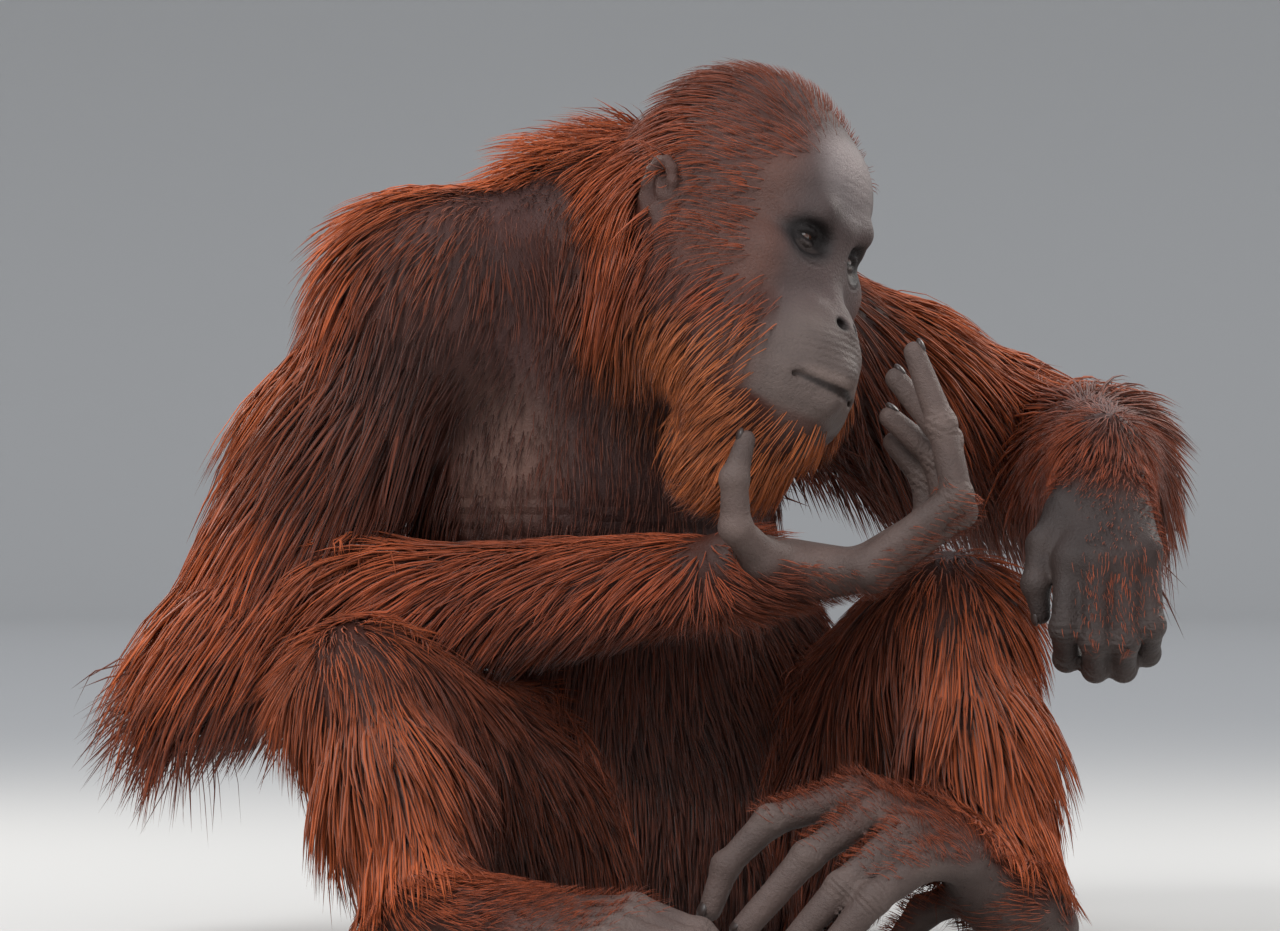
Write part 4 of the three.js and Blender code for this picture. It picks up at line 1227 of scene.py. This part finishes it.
def tuft_mesh(name, pick):
    """One object from the chosen tufts."""
    line = lines[pick]
    n = len(line)
    length = root_long[pick]
    wide = TUFT_WIDE * np.clip(length / 75, 0.24, 1.25) * (0.75 + 0.5 * root_own[pick])
    way = unit(np.gradient(line, axis=1))
    out = root_normals[pick][:, None] + RNG.normal(size=(n, 1, 3)) * 0.35
    side = unit(np.cross(out, way))
    up = np.cross(way, side)
    rings = BONES - 1
    half = wide[:, None] * PROFILE[None] / 2
    s = side[:, :rings] * half[..., None]
    u = up[:, :rings] * half[..., None] * TUFT_THIN
    c = line[:, :rings]
    ring = np.stack([c - s - u * 0.5, c + s - u * 0.5, c + u], 2)
    places = np.concatenate([ring.reshape(n, -1, 3), line[:, -1:]], 1)
    size = EDGES * rings + 1
    one = []
    for r in range(rings - 1):
        for k in range(EDGES):
            a, b = r * EDGES + k, r * EDGES + (k + 1) % EDGES
            one += [(a, b, b + EDGES), (a, b + EDGES, a + EDGES)]
    last = (rings - 1) * EDGES
    one += [(last + k, last + (k + 1) % EDGES, size - 1) for k in range(EDGES)] + [(0, 2, 1)]
    faces = (np.array(one)[None] + (np.arange(n) * size)[:, None, None]).reshape(-1, 3)
    piece = mesh_of(name, places.reshape(-1, 3), faces, HAIR_FINISH)
    t = np.append(np.repeat(np.arange(rings) / rings, EDGES), 1.0)
    across = np.append(np.tile(np.arange(EDGES) / EDGES, rings), 0.5)
    note(piece.data, "along", np.tile(t, n))
    note(piece.data, "own", np.repeat(root_own[pick], size))
    paint(piece.data, "tone", np.repeat(root_tone[pick], size, 0))
    spot = np.stack([np.tile(across, n), np.tile(t, n)], 1) * PATCH
    spot = spot + np.repeat(root_uv[pick] - PATCH / 2, size, 0)
    layer = piece.data.uv_layers.new(name="OFBake")
    layer.data.foreach_set("uv", spot[faces.ravel()].astype(np.float32).ravel())
    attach(piece, "root")
    return len(faces)


MOST_TUFTS = 8600 # in one piece
coat_triangles = 0
for i, name in enumerate(PARTS):
    mine = np.flatnonzero(root_part == i)
    for k, start_at in enumerate(range(0, len(mine), MOST_TUFTS)):
        count = tuft_mesh(f"coat_{name}_{k + 1}", mine[start_at:start_at + MOST_TUFTS])
        coat_triangles += count
        print(f"coat_{name}_{k + 1}", count)
print("coat triangles", coat_triangles)

# %% [markdown]
# The animal is shown in a pale bowl: a level floor that curves up into a round wall, under soft lamps.
# The wall goes all the way round, so that the model can be looked at from every side.
# The camera stands level with the middle of the body and far off, with a long lens.

# %% Studio
FLOOR_REACH = 11.0 # metres, past the camera when it circles the model
CURVE = 1.8
WALL_TOP = 4.2


def bowl():
    profile = [(0.0, 0.0), (FLOOR_REACH, 0.0)]
    for a in np.linspace(0, math.pi / 2, 12)[1:]:
        profile.append((FLOOR_REACH + CURVE * math.sin(a), CURVE - CURVE * math.cos(a)))
    profile.append((FLOOR_REACH + CURVE, WALL_TOP))
    sides = 96
    turns = [2 * math.pi * k / sides for k in range(sides)]
    verts = [(r * math.cos(t), r * math.sin(t), z) for r, z in profile for t in turns]
    faces = []
    for i in range(len(profile) - 1):
        for k in range(sides):
            n = (k + 1) % sides
            faces.append((i * sides + k, (i + 1) * sides + k, (i + 1) * sides + n, i * sides + n))
    mesh = bpy.data.meshes.new("studio floor")
    mesh.from_pydata(verts, [], faces)
    for polygon in mesh.polygons:
        polygon.use_smooth = True
    floor = shown("studio floor", mesh)
    paper = finish("pale paper", lambda wire: {}, Base_Color=(0.5, 0.5, 0.49, 1), Roughness=0.9)
    mesh.materials.append(paper)
    return floor


def lamp(name, place, target, size, power, colour=(1, 1, 1)):
    light = bpy.data.lights.new(name, "AREA")
    light.size = size
    light.energy = power
    light.color = colour
    holder = shown(name, light)
    holder.location = place
    holder.rotation_euler = (Vector(target) - Vector(place)).to_track_quat("-Z", "Y").to_euler()
    return holder


floor = bowl()
CENTRE = (0.0, 0.0, 0.35)
lamp("key", (-1.2, -2.2, 2.8), CENTRE, 1.5, 78)
lamp("fill", (2.6, -2.4, 1.2), CENTRE, 2.2, 22)
lamp("rim left", (-1.8, 1.5, 1.7), CENTRE, 1.0, 34, (1.0, 0.95, 0.88))
lamp("rim right", (1.9, 1.4, 1.9), CENTRE, 1.0, 34, (1.0, 0.95, 0.88))
world = bpy.data.worlds.new("soft room")
world.use_nodes = True
world.node_tree.nodes["Background"].inputs["Color"].default_value = (0.9, 0.93, 1.0, 1)
world.node_tree.nodes["Background"].inputs["Strength"].default_value = 0.8
bpy.context.scene.world = world
bpy.context.scene.view_settings.view_transform = "Standard"
print("lamps", 4)

# %% Camera
IMAGE_WIDE = 1280
MM_TO_PIXEL = 0.8
CAMERA_FAR = 5000.0
camera_data = bpy.data.cameras.new("camera")
camera = shown("camera", camera_data)
camera_data.sensor_width = 36
camera_data.lens = 36 * CAMERA_FAR / (IMAGE_WIDE * MM_TO_PIXEL)
camera_data.clip_end = 50
camera.location = (at(-16, -CAMERA_FAR, 388) + OFFSET) / 1000
camera.rotation_euler = (math.pi / 2, 0, 0)
bpy.context.scene.camera = camera
print("lens", round(camera_data.lens), "mm")

# %% Finish
bpy.context.view_layer.update()
